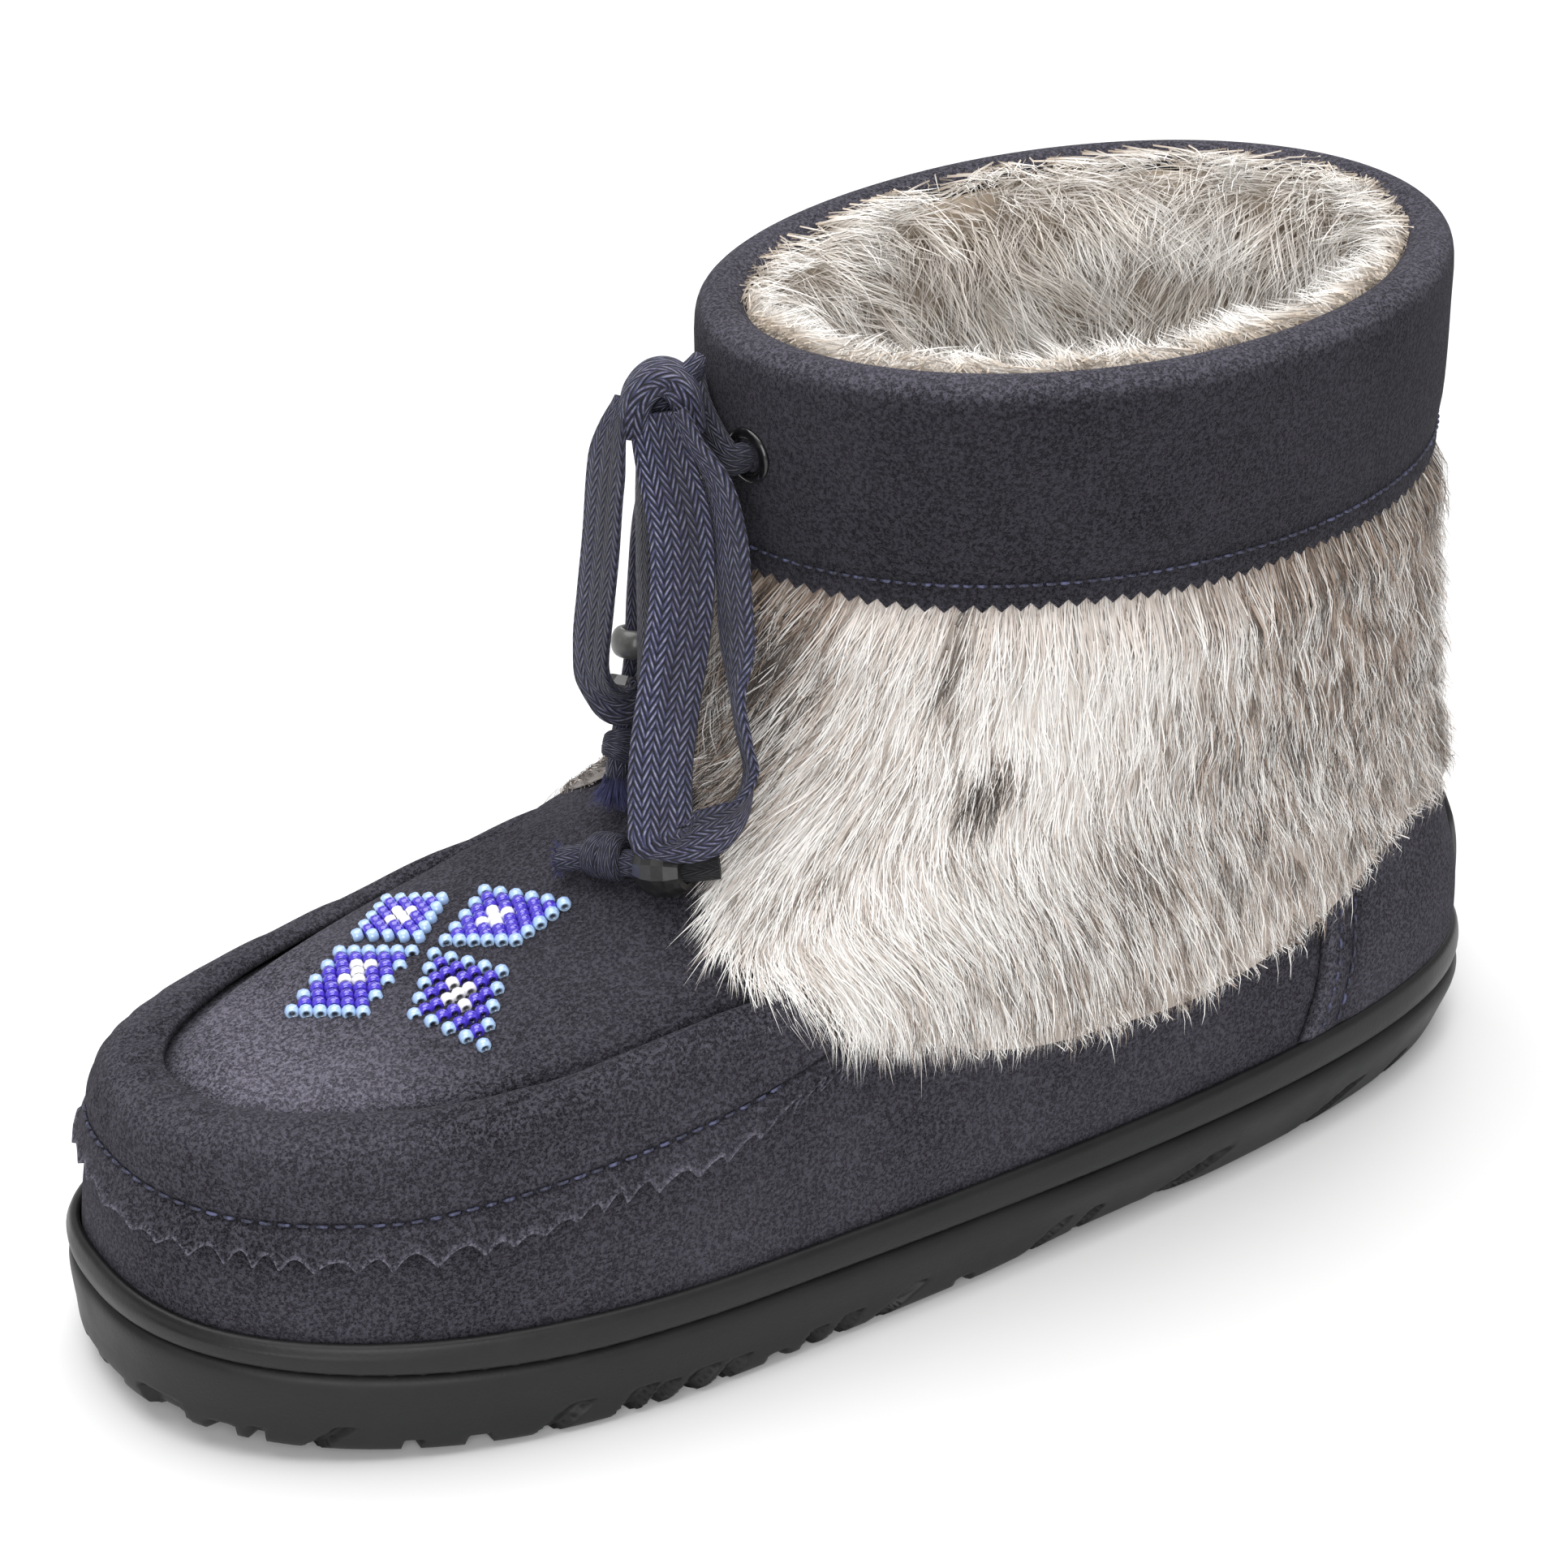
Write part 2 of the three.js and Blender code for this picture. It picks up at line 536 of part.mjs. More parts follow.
function eyelet(degrees) {
  const flange = EYELET_BORE + 2.6;
  const barrel = EYELET_BORE + 1.1;
  const profile = [[EYELET_BORE, -2.0], [barrel, -2.0], [barrel, 0.75], [flange, 0.75], [flange - 0.6, 1.7],
    [EYELET_BORE + 0.5, 1.8], [EYELET_BORE, 1.0], [EYELET_BORE, -2.0]];
  const ring = new THREE.LatheGeometry(profile.map(([x, y]) => new THREE.Vector2(x, y)), 10);
  return outward(solidFrom(seat(ring, degrees, 0)));
}

function solidFrom(geometry) {
  const g = geometry.clone();
  g.deleteAttribute('normal');
  g.deleteAttribute('uv');
  return mergeVertices(g, 1e-3);
}

// Lace pieces: a section carried along a route
function cord(route, width, thick, twist, count) {
  const shape = new THREE.Shape();
  for (let k = 0; k <= 8; k += 1) {
    const a = ((k % 8) * Math.PI) / 4 + Math.PI / 8;
    const [u, v] = [0.5 * width * Math.cos(a), 0.5 * thick * Math.sin(a)];
    const [x, y] = [u * Math.cos(twist) - v * Math.sin(twist), u * Math.sin(twist) + v * Math.cos(twist)];
    if (k === 0) shape.moveTo(x, y);
    else shape.lineTo(x, y);
  }
  const path = new THREE.CatmullRomCurve3(route.map((p) => new THREE.Vector3(...p)));
  return outward(solidFrom(new THREE.ExtrudeGeometry(shape, { steps: count, extrudePath: path, bevelEnabled: false })));
}

function laceBars() {
  const bars = EYELETS.map(([, d]) => {
    const start = cuffPoint(d, CUFF_OUT - 0.6, EYELET_HEIGHT);
    const mouth = cuffPoint(d, CUFF_OUT + 2.2, EYELET_HEIGHT);
    const out = cuffPoint(d + (-8 - d) * 0.12, CUFF_OUT + 4.2, EYELET_HEIGHT + 0.4);
    const near = cuffPoint(d + (-8 - d) * 0.62, CUFF_OUT + 3.6, EYELET_HEIGHT + 4);
    const meet = cuffPoint(-8, CUFF_OUT + 2.6, EYELET_HEIGHT + 7);
    return body(cord([start, mouth, out, near, meet].map((p) => p.toArray()), 3.6, 3.6, 0, 6));
  });
  return geometryOf(joined(bars));
}

function laceEnd(route, count, knotAt) {
  const knot = new THREE.SphereGeometry(3.6, 7, 5);
  knot.translate(...knotAt);
  return geometryOf(body(cord(route, 4.6, 4.2, 0, count)).add(body(outward(solidFrom(knot)))));
}

function laceKnot() {
  const lump = new THREE.SphereGeometry(1, 8, 6);
  lump.scale(5.0, 6.4, 6.6);
  const wrap = new THREE.TorusGeometry(5.2, 1.9, 5, 8);
  wrap.scale(1.05, 0.72, 1);
  wrap.rotateX(1.25);
  const band = new THREE.TorusGeometry(5.0, 1.7, 5, 8);
  band.scale(0.78, 1.1, 1);
  band.rotateY(1.2);
  const pieces = [lump, wrap, band].map((g) => {
    g.translate(...KNOT);
    return body(outward(solidFrom(g)));
  });
  return geometryOf(joined(pieces));
}

function laceBead(centreAt, along3, radius, length) {
  const bore2 = 3.1;
  const half = length / 2;
  const lip = Math.max(radius - 1.4, bore2 + 0.6);
  const profile = [[bore2, -half], [lip, -half], [radius, -0.2 * half], [radius, 0.2 * half],
    [lip, half], [bore2, half], [bore2, -half]];
  const ring = new THREE.LatheGeometry(profile.map(([x, y]) => new THREE.Vector2(x, y)), 8);
  const spin = new THREE.Quaternion();
  spin.setFromUnitVectors(new THREE.Vector3(0, 1, 0), new THREE.Vector3(...along3).normalize());
  ring.applyQuaternion(spin);
  ring.translate(...centreAt);
  return outward(solidFrom(ring));
}

// Degrees and ring whose point lies over a place in plan, found in short steps from a guess
function under(x, y, guess) {
  let [degrees, ring] = guess;
  for (let k = 0; k < 10; k += 1) {
    const p = face(ring, degrees);
    const a = face(ring, degrees + 0.5).sub(p).multiplyScalar(2);
    const b = face(ring + 0.02, degrees).sub(p).multiplyScalar(50);
    const spread = a.x * b.y - a.y * b.x;
    degrees += ((x - p.x) * b.y - (y - p.y) * b.x) / spread;
    ring += (a.x * (y - p.y) - a.y * (x - p.x)) / spread;
  }
  return [degrees, ring];
}

// Bead lozenge: a four-cornered pad with one raised bead per cell
function lozenge(corners) {
  const n = LOZENGE_CELLS;
  const ends = corners.map(([degrees, ring]) => face(ring, degrees));
  const spot = (u, v, out) => {
    const share = [(1 - u) * (1 - v), u * (1 - v), u * v, (1 - u) * v];
    const mix = (of) => share.reduce((sum, f, k) => sum + f * of(k), 0);
    const guess = [mix((k) => corners[k][0]), mix((k) => corners[k][1])];
    const [degrees, ring] = under(mix((k) => ends[k].x), mix((k) => ends[k].y), guess);
    return off(ring, degrees, out);
  };
  const points = [];
  const faces = [];
  for (let i = 0; i <= n; i += 1) {
    for (let j = 0; j <= n; j += 1) {
      points.push(spot(i / n, j / n, GAP + 0.55 * BEAD), spot(i / n, j / n, 2 * GAP));
    }
  }
  const id = (i, j, low) => 2 * (i * (n + 1) + j) + low;
  for (let i = 0; i < n; i += 1) {
    for (let j = 0; j < n; j += 1) {
      const top = points.length;
      points.push(spot((i + 0.5) / n, (j + 0.5) / n, GAP + BEAD));
      const ring = [id(i, j, 0), id(i + 1, j, 0), id(i + 1, j + 1, 0), id(i, j + 1, 0)];
      ring.forEach((p, k) => faces.push([p, ring[(k + 1) % 4], top]));
      faces.push(...quad(id(i, j, 1), id(i, j + 1, 1), id(i + 1, j + 1, 1), id(i + 1, j, 1)));
    }
    const sides = [[id(i, 0, 0), id(i, 0, 1), id(i + 1, 0, 1), id(i + 1, 0, 0)],
      [id(i + 1, n, 0), id(i + 1, n, 1), id(i, n, 1), id(i, n, 0)],
      [id(0, i + 1, 0), id(0, i + 1, 1), id(0, i, 1), id(0, i, 0)],
      [id(n, i, 0), id(n, i, 1), id(n, i + 1, 1), id(n, i + 1, 0)]];
    sides.forEach((s) => faces.push(...quad(...s)));
  }
  return solid(points, faces);
}

add('outsole', outsole(), RUBBER, 0.7);
add('rand', rand(), RUBBER, 0.6);
add('insole', insole(), 0xb9b0a4, 0.95);
add('upper', upper(0), SUEDE, 0.95);
add('apron', apron(), SUEDE, 0.95);
add('heel_counter', heelCounter(), 0x3f3e4a, 0.95);
add('fur_band', geometryOf(largest(furBand().subtract(underFur()))), 0xcfcac4, 1.0);
add('cuff', cuff(), SUEDE, 0.95);
EYELETS.forEach(([side, d]) => add(`eyelet_${side}`, eyelet(d), 0x1b1b1d, 0.35, 0.8));
add('lace_bars', laceBars(), 0x35365a, 0.85);
add('lace_knot', laceKnot(), 0x3a3b60, 0.85);
add('lace_loop_inner', cord(LOOP_INNER, LACE_WIDTH, LACE_THICK, 1.6, 20), 0x3a3b60, 0.85);
add('lace_loop_outer', cord(LOOP_OUTER, LACE_WIDTH, LACE_THICK, 0.5, 24), 0x3a3b60, 0.85);
add('lace_end_inner', laceEnd(END_INNER, 14, END_KNOTS.inner), 0x33345a, 0.85);
add('lace_end_outer', laceEnd(END_OUTER, 8, END_KNOTS.outer), 0x33345a, 0.85);
LACE_BEADS.forEach(([name, p, a, r, l]) => add(`lace_bead_${name}`, laceBead(p, a, r, l), 0x17171a, 0.25));
LOZENGES.forEach((corners, i) => add(`bead_lozenge_${i + 1}`, lozenge(corners), 0x6a6fd0, 0.25));

export default root;
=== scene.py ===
"""Ankle-high moccasin slipper boot for the left foot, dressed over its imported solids.

All shapes are worked out in millimetres in the boot's own frame (toe to -X, outer side
to -Y, floor at z = 0) and put into Blender in metres.
"""
import math

import bpy
import numpy as np
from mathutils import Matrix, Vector


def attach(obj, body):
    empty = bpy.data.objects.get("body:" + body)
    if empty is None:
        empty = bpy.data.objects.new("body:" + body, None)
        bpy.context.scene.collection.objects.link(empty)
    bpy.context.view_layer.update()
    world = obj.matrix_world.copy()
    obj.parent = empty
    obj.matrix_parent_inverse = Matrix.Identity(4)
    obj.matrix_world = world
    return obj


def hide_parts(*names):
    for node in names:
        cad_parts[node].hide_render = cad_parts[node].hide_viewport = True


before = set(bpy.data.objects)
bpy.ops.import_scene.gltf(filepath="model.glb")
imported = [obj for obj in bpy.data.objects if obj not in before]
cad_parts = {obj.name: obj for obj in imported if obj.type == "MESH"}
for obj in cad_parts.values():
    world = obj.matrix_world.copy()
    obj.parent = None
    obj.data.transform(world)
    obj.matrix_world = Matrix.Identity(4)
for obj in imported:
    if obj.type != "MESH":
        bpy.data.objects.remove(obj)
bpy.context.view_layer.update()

bl_info = {
    "name": "Moccasin slipper boot",
    "version": (1, 0, 0),
    "blender": (4, 5, 0),
    "location": "3D View > Sidebar > Boot",
    "description": "Builds a fur-trimmed suede moccasin boot over its solids",
    "category": "Object",
}

MM = 0.001


def linear(red, green, blue):
    """Scene-linear colour of an eight-bit display colour."""
    c = np.array([red, green, blue]) / 255.0
    return tuple(float(v) for v in np.where(c <= 0.04045, c / 12.92, ((c + 0.055) / 1.055) ** 2.4))


class BootSizes(bpy.types.PropertyGroup):
    """Sizes that a user would change."""

    lace_width: bpy.props.FloatProperty(
        name="Lace width", description="Width of the flat braided lace",
        default=0.0112, unit="LENGTH", subtype="DISTANCE")
    lace_thickness: bpy.props.FloatProperty(
        name="Lace thickness", description="Thickness of the flat braided lace",
        default=0.0021, unit="LENGTH", subtype="DISTANCE")
    hair_length: bpy.props.FloatProperty(
        name="Fur hair length", description="Length of the longest hairs of the fur band",
        default=0.021, unit="LENGTH", subtype="DISTANCE")
    lining_length: bpy.props.FloatProperty(
        name="Lining pile", description="Length of the lining's plush pile",
        default=0.013, unit="LENGTH", subtype="DISTANCE")
    stitch_pitch: bpy.props.FloatProperty(
        name="Stitch pitch", description="Distance from one apron stitch to the next",
        default=0.0031, unit="LENGTH", subtype="DISTANCE")
    tooth_pitch: bpy.props.FloatProperty(
        name="Pinking pitch", description="Distance between the teeth of the cuff's pinked hem",
        default=0.003, unit="LENGTH", subtype="DISTANCE")
    seed_bead: bpy.props.FloatProperty(
        name="Seed bead", description="Diameter of the glass seed beads",
        default=0.0026, unit="LENGTH", subtype="DISTANCE")


class BootColours(bpy.types.PropertyGroup):
    """Colours that a user would change."""

    suede: bpy.props.FloatVectorProperty(
        name="Suede", description="Brushed-up tone of the suede",
        default=linear(76, 74, 83), subtype="COLOR", min=0, max=1)
    suede_deep: bpy.props.FloatVectorProperty(
        name="Suede, brushed down", description="Darker tone where the nap lies flat",
        default=linear(12, 11, 15), subtype="COLOR", min=0, max=1)
    rubber: bpy.props.FloatVectorProperty(
        name="Rubber", description="Sole and rand", default=linear(22, 22, 23),
        subtype="COLOR", min=0, max=1)
    fur_light: bpy.props.FloatVectorProperty(
        name="Fur, light", description="Light guard hairs", default=linear(252, 250, 247),
        subtype="COLOR", min=0, max=1)
    fur_brown: bpy.props.FloatVectorProperty(
        name="Fur, brown", description="Banded hairs towards the heel",
        default=linear(176, 156, 141), subtype="COLOR", min=0, max=1)
    fur_dark: bpy.props.FloatVectorProperty(
        name="Fur, dark", description="Dark hairs and the hair roots",
        default=linear(48, 41, 38), subtype="COLOR", min=0, max=1)
    lining: bpy.props.FloatVectorProperty(
        name="Lining", description="Plush pile tips", default=linear(255, 253, 250),
        subtype="COLOR", min=0, max=1)
    # Painted shade: the colour of the pile's roots and of the backing cloth, for the shade deep in
    # the pile
    lining_shade: bpy.props.FloatVectorProperty(
        name="Lining, deep", description="Plush pile roots", default=linear(190, 175, 158),
        subtype="COLOR", min=0, max=1)
    lace: bpy.props.FloatVectorProperty(
        name="Lace", description="Braided lace", default=linear(56, 57, 86),
        subtype="COLOR", min=0, max=1)
    thread: bpy.props.FloatVectorProperty(
        name="Thread", description="Decorative stitching", default=linear(56, 58, 82),
        subtype="COLOR", min=0, max=1)
    bead_blue: bpy.props.FloatVectorProperty(
        name="Bead, light blue", description="Border beads of the lozenges",
        default=linear(164, 192, 238), subtype="COLOR", min=0, max=1)
    bead_violet: bpy.props.FloatVectorProperty(
        name="Bead, violet", description="Field beads of the lozenges",
        default=linear(70, 52, 186), subtype="COLOR", min=0, max=1)
    bead_white: bpy.props.FloatVectorProperty(
        name="Bead, white", description="Centre beads of the lozenges",
        default=linear(238, 240, 244), subtype="COLOR", min=0, max=1)
    floor: bpy.props.FloatVectorProperty(
        name="Floor", description="Studio floor", default=(0.76, 0.76, 0.76),
        subtype="COLOR", min=0, max=1)


# Rings of the upper from the sole to the collar: front, widest place and back along the
# foot, sideways lean of the front, half widths outside and inside, fullness of the front
# and back, hollow of the waist, then heights at 0, 30, 60, 90 and 180 degrees round
SECTIONS = np.array([
    [-137.0, -38, 137.0, 8.0, 46.2, 46.6, 2.45, 2.95, 0.10, 22.3, 20.4, 18.2, 16.6, 15.1],
    [-137.2, -38, 137.2, 8.0, 46.4, 46.8, 2.45, 2.95, 0.10, 27.2, 24.8, 22.8, 21.5, 20.6],
    [-135.2, -36, 136.5, 8.0, 46.0, 46.2, 2.45, 2.95, 0.09, 41.0, 38.0, 36.5, 34.0, 34.0],
    [-131.5, -30, 134.0, 7.5, 43.8, 42.5, 2.40, 2.80, 0.07, 53.0, 51.5, 50.0, 48.0, 47.0],
    [-122.5, -10, 131.5, 5.5, 41.0, 37.0, 2.15, 2.55, 0.05, 58.5, 59.0, 61.0, 63.0, 60.0],
    [-96.0, 10, 129.0, 4.5, 40.5, 38.0, 2.00, 2.40, 0.03, 63.5, 64.5, 68.0, 73.0, 70.0],
    [-58.0, 30, 127.0, 3.5, 40.5, 39.5, 2.00, 2.30, 0.0, 71.0, 72.5, 77.0, 82.0, 80.0],
    [-26.0, 45, 125.5, 3.0, 41.0, 40.5, 2.00, 2.20, 0.0, 86.0, 87.5, 90.0, 93.0, 90.0],
    [-15.0, 52, 123.5, 3.2, 42.0, 41.5, 2.00, 2.10, 0.0, 104.0, 104.0, 105.0, 106.0, 104.0],
    [-11.5, 55, 121.0, 3.4, 43.5, 43.0, 2.00, 2.00, 0.0, 127.0, 127.0, 127.0, 127.0, 127.0],
    [-12.0, 55, 120.6, 3.4, 45.5, 45.5, 2.00, 2.00, 0.0, 165.3, 165.3, 165.3, 165.3, 165.3],
])
# Middle of the shaft in plan, and heights of rings 9 and 10, its foot and the collar's rim
SHAFT_X, SHAFT_Y = 55.0, 3.0
SHAFT_FOOT = 127.0
COLLAR = 165.3
# The upper's wall, the gap between layers, a laid-on layer, the sole's edge past the upper,
# the height of the rubber band, half the boot's length and the depth of the tread cuts
WALL = 2.6
GAP = 0.3
OVERLAY = 1.1
SOLE_EDGE = 2.8
BAND = 6.1
HALF_LENGTH = 140.0
TREAD_DEPTH = 3.4

# Edges on the upper: degrees round from the toe and ring number, but ring number and degrees
# for the counter's; and the degrees at which the apron ends
PINKED_EDGE = np.array([[0, 2.05], [33, 2.1], [53, 2.15], [65, 2.35], [76, 2.6], [84.5, 2.83],
                        [89, 3.15], [93, 3.6]])
PLUG_EDGE = np.array([[0, 4], [48, 4.05], [58, 4.2], [65, 4.8], [75, 4.9], [85, 4.5], [93, 4.05]])
FUR_EDGE = np.array([[0, 7.25], [15, 7.05], [28, 6.6], [55, 5.65], [66, 5.2], [76, 4.7], [85, 4.08],
                     [91, 3.55], [96, 3.1], [100, 2.85], [112, 2.65], [120, 2.8], [127, 2.98],
                     [135, 3.35], [143, 3.6], [160, 3.55], [180, 3.7]])
COUNTER_EDGE = np.array([[0, 122.5], [1, 123], [3, 128], [4, 131]])
APRON_END = 91.0

# Tread cuts in the sole: place along and across, length, width, degrees turned
TREAD_CUTS = np.array([
    [-128, 10, 3.5, 60, 12], [-112, -28, 4, 40, -18], [-112, 32, 4, 36, 24], [-99, -34, 4, 40, -18],
    [-99, 38, 4, 36, 24], [-86, -38, 4, 40, -18], [-86, 42, 4, 36, 24], [-70, 2, 4.5, 40, 0],
    [-56, -44, 4, 34, 32], [-56, 44, 4, 34, -32], [-40, -46, 4, 34, 32], [-40, 46, 4, 34, -32],
    [-24, -46, 4, 30, 32], [-24, 44, 4, 30, -32], [-4, -46, 4, 26, 32], [54, -42, 4, 26, 24],
    [70, 0, 4.5, 46, 0], [86, -40, 4, 34, 20], [86, 38, 4, 34, -20], [102, -38, 4, 34, 20],
    [102, 36, 4, 34, -20], [118, 0, 4, 50, 0],
])
# Cuts in the sole's side: run from the toe at the foot, half width, height, lean along the run
# for each millimetre up, depth
SIDE_CUTS = np.array([
    [4.6, 3.0, 2.4, 0, 2.0], [19.8, 4.0, 4.6, -0.5, 2.0], [29.9, 2.2, 3.0, 0, 2.4],
    [36.3, 1.2, 3.6, 0, 2.4], [44.5, 1.4, 5.6, 1.3, 1.6], [62.3, 1.3, 2.8, 0.3, 2.4],
    [74.6, 2.0, 2.8, 0, 2.4], [85, 2.2, 6.0, 1.2, 1.7], [99.5, 2.0, 5.6, 0.8, 2.2],
    [104.6, 1.5, 5.0, 0.8, 2.2], [111, 2.4, 5.4, 0.9, 2.2], [117.8, 2.0, 5.0, 0.9, 2.0],
    [130.4, 1.9, 2.6, 0, 2.6], [136.2, 1.5, 4.6, 0.5, 2.2], [141.6, 1.7, 5.0, 0.8, 2.2],
    [149.5, 1.8, 6.2, 1.6, 1.9], [169.6, 1.7, 2.6, 0, 2.4], [183, 1.4, 6.0, 1.4, 1.6],
    [194, 1.3, 5.4, 0.9, 1.6], [212, 3.0, 6.5, 2.4, 1.8], [249, 2.6, 6.0, 2.6, 1.8],
    [273.5, 2.0, 4.0, 2.0, 1.6], [294.5, 1.6, 3.0, 1.0, 1.4],
])

# Directions seen from the boot's outer front: to the right, towards the viewer and up
RIGHT = np.array([0.848, -0.529, 0.0])
FRONT = np.array([-0.529, -0.848, 0.0])
UP = np.array([0.0, 0.0, 1.0])
# Routes of the lace's loops and ends, and the middle of its knot
LOOP_INNER = np.array([
    [-33.4, 6.1, 160.8], [-35.3, 6.7, 155.9], [-36.5, 7.4, 147.1], [-37.1, 8.4, 134.8],
    [-37.9, 9.5, 123.1], [-38.4, 10.4, 113.7], [-37.5, 10.4, 107.8], [-34.7, 9.8, 104.1],
    [-31.2, 9.5, 103.2], [-28.7, 9.6, 106.4], [-27.8, 10.3, 116.1], [-27.8, 10.3, 128.5],
    [-27.9, 9.8, 140.9], [-28.4, 7.8, 150.4], [-28.4, 6.4, 157.3]])
LOOP_OUTER = np.array([
    [-29.9, 2.1, 159.6], [-29.8, 0.3, 153.2], [-29.1, -3.7, 142.0], [-30.3, -6.5, 132.3],
    [-32.7, -8.5, 122.5], [-35.9, -10.7, 112.9], [-39.5, -14.2, 104.2], [-42.3, -18.6, 96.8],
    [-43.2, -20.8, 93.9], [-38.2, -20.6, 92.9], [-32.8, -21.2, 93.4], [-28.3, -20.8, 95.6],
    [-25.4, -19.5, 101.2], [-25.8, -18.1, 107.6], [-26.0, -16.2, 115.4], [-25.1, -14.4, 123.1],
    [-24.5, -12.4, 133.4], [-23.8, -9.9, 142.1], [-24.5, -7.1, 150.0], [-26.3, -2.6, 155.4],
    [-27.3, 0.5, 159.3]])
END_INNER = np.array([[-21.2, 8.8, 153.0], [-20.4, 15.8, 145.0], [-21.2, 21.4, 132.0],
                      [-22.6, 22.0, 117.0], [-24.8, 19.8, 104.5], [-28.2, 17.0, 96.8],
                      [-31.6, 13.8, 90.8], [-34.4, 11.2, 86.2]])
END_OUTER = np.array([[-31.7, -19.8, 84.8], [-36.2, -17.0, 84.2], [-39.0, -12.5, 83.1],
                      [-42.8, -5.6, 81.8], [-45.6, 0.4, 80.6], [-49.6, 5.4, 78.8]])
KNOT = np.array([-26.6, 6.0, 160.6])
# Width of the drawn ends, and the length of lace for one unit of its V coordinate
TAIL_WIDTH = 4.6
BRAID_LENGTH = 11.0
# The knot and the eyelets as degrees round the cuff, and the eyelets' height and bore
KNOT_TURN = -8.0
EYELETS = [("outer", 7.5), ("inner", -24.0)]
EYELET_HEIGHT = 150.5
EYELET_BORE = 2.7
# The cuff's outer and inner faces, out from the collar's wall, its hem and its stitch line
CUFF_OUT = 4.1
CUFF_IN = 1.9
CUFF_HEM = 128.2
CUFF_STITCH = 133.2
# Top ring of the fur, under the cuff, and counts of hairs in each layer and of their bunches
FUR_TOP = 9.35
FUR_HAIRS = 23500
FUR_LOCKS = 6000
PILE_HAIRS = 17000
PILE_TUFTS = 1000
# Beads on the lace ends: centre, direction, radius, length
LACE_BEADS = {
    "grey": ([-24.2, 20.4, 107.2], [-1.8, -1.8, -9.0], 4.4, 5.0),
    "dark": ([-27.4, 17.7, 98.4], [-3.6, -2.8, -7.2], 5.4, 7.0),
    "low": ([-38.5, -13.3, 83.4], [-5.6, 9.6, -2.2], 5.2, 9.0),
}
# Bead lozenges on the plug: corners as degrees round and ring number, beads each way,
# centre of the white cross, and whether the strings run along the rising diagonal
LOZENGES = [
    (1, [[-23, 5.19], [-9, 5.56], [-20.5, 5.65], [-35, 5.15]], 5, 5, (2.0, 2.0), True),
    (2, [[-2.5, 5.66], [9.5, 5.86], [7.5, 6.16], [-13.5, 5.9]], 6, 5, (2.0, 2.0), False),
    (3, [[-3, 4.88], [9, 5.12], [-4.5, 5.51], [-18.5, 5.14]], 6, 5, (2.5, 2.5), False),
    (4, [[0.5, 5.58], [17, 5.64], [36.5, 4.9], [17.5, 5.2]], 5, 5, (2.0, 2.0), True),
]

# Creases of the suede: start and end as degrees and ring, width and depth in millimetres
CREASES = np.array([
    [62, 5.15, 40, 5.9, 9.0, 1.0], [-60, 5.0, -38, 5.8, 9.0, 1.0], [98, 1.9, 104, 2.7, 8.0, 0.7],
    [86, 1.6, 94, 2.5, 10.0, 0.6], [-84, 1.7, -92, 2.6, 9.0, 0.7], [24, 5.0, -10, 5.35, 16.0, -0.7],
    [150, 2.2, 168, 2.8, 10.0, 0.5], [-152, 2.2, -166, 2.9, 10.0, 0.5],
])


def smooth(f):
    """Three f squared less two f cubed, with f held between 0 and 1."""
    c = np.clip(f, 0.0, 1.0)
    return c * c * (3.0 - 2.0 * c)


def bell(x, width):
    """The exponential of less (x over width) squared."""
    return np.exp(-(x / width) ** 2)


def blend(a, b, share):
    """From a to b by a share."""
    return a + (b - a) * share


def around(degrees):
    """Angle from the toe, 0 to 180, whichever way round."""
    return np.abs((np.asarray(degrees, float) + 540.0) % 360.0 - 180.0)


def at(table, position):
    """Value of an edge table at a position, with its corners rounded over 5 degrees."""
    x, v = table[:, 0], table[:, 1]
    spots = [np.interp(np.abs(np.asarray(position, float) + d), x, v) for d in (-2.5, 0.0, 2.5)]
    return 0.25 * spots[0] + 0.5 * spots[1] + 0.25 * spots[2]


def cubic(p0, p1, p2, p3, f):
    """The curve from p1 to p2 whose slopes are half the steps to their neighbours."""
    bend = (3 * p1 - p0 - 3 * p2 + p3) * f ** 3
    return 0.5 * (2 * p1 + (p2 - p0) * f + (2 * p0 - 5 * p1 + 4 * p2 - p3) * f ** 2 + bend)


def along(rows, t):
    """Smooth value through rows at equal steps; past the ends a row repeats the last step."""
    t = np.clip(np.asarray(t, float), 0.0, len(rows) - 1.0)
    i = np.minimum(t.astype(int), len(rows) - 2)
    rows = np.concatenate([2 * rows[:1] - rows[1:2], rows, 2 * rows[-1:] - rows[-2:-1]])
    f = (t - i).reshape(t.shape + (1,) * (rows.ndim - 1))
    return cubic(rows[i], rows[i + 1], rows[i + 2], rows[i + 3], f)


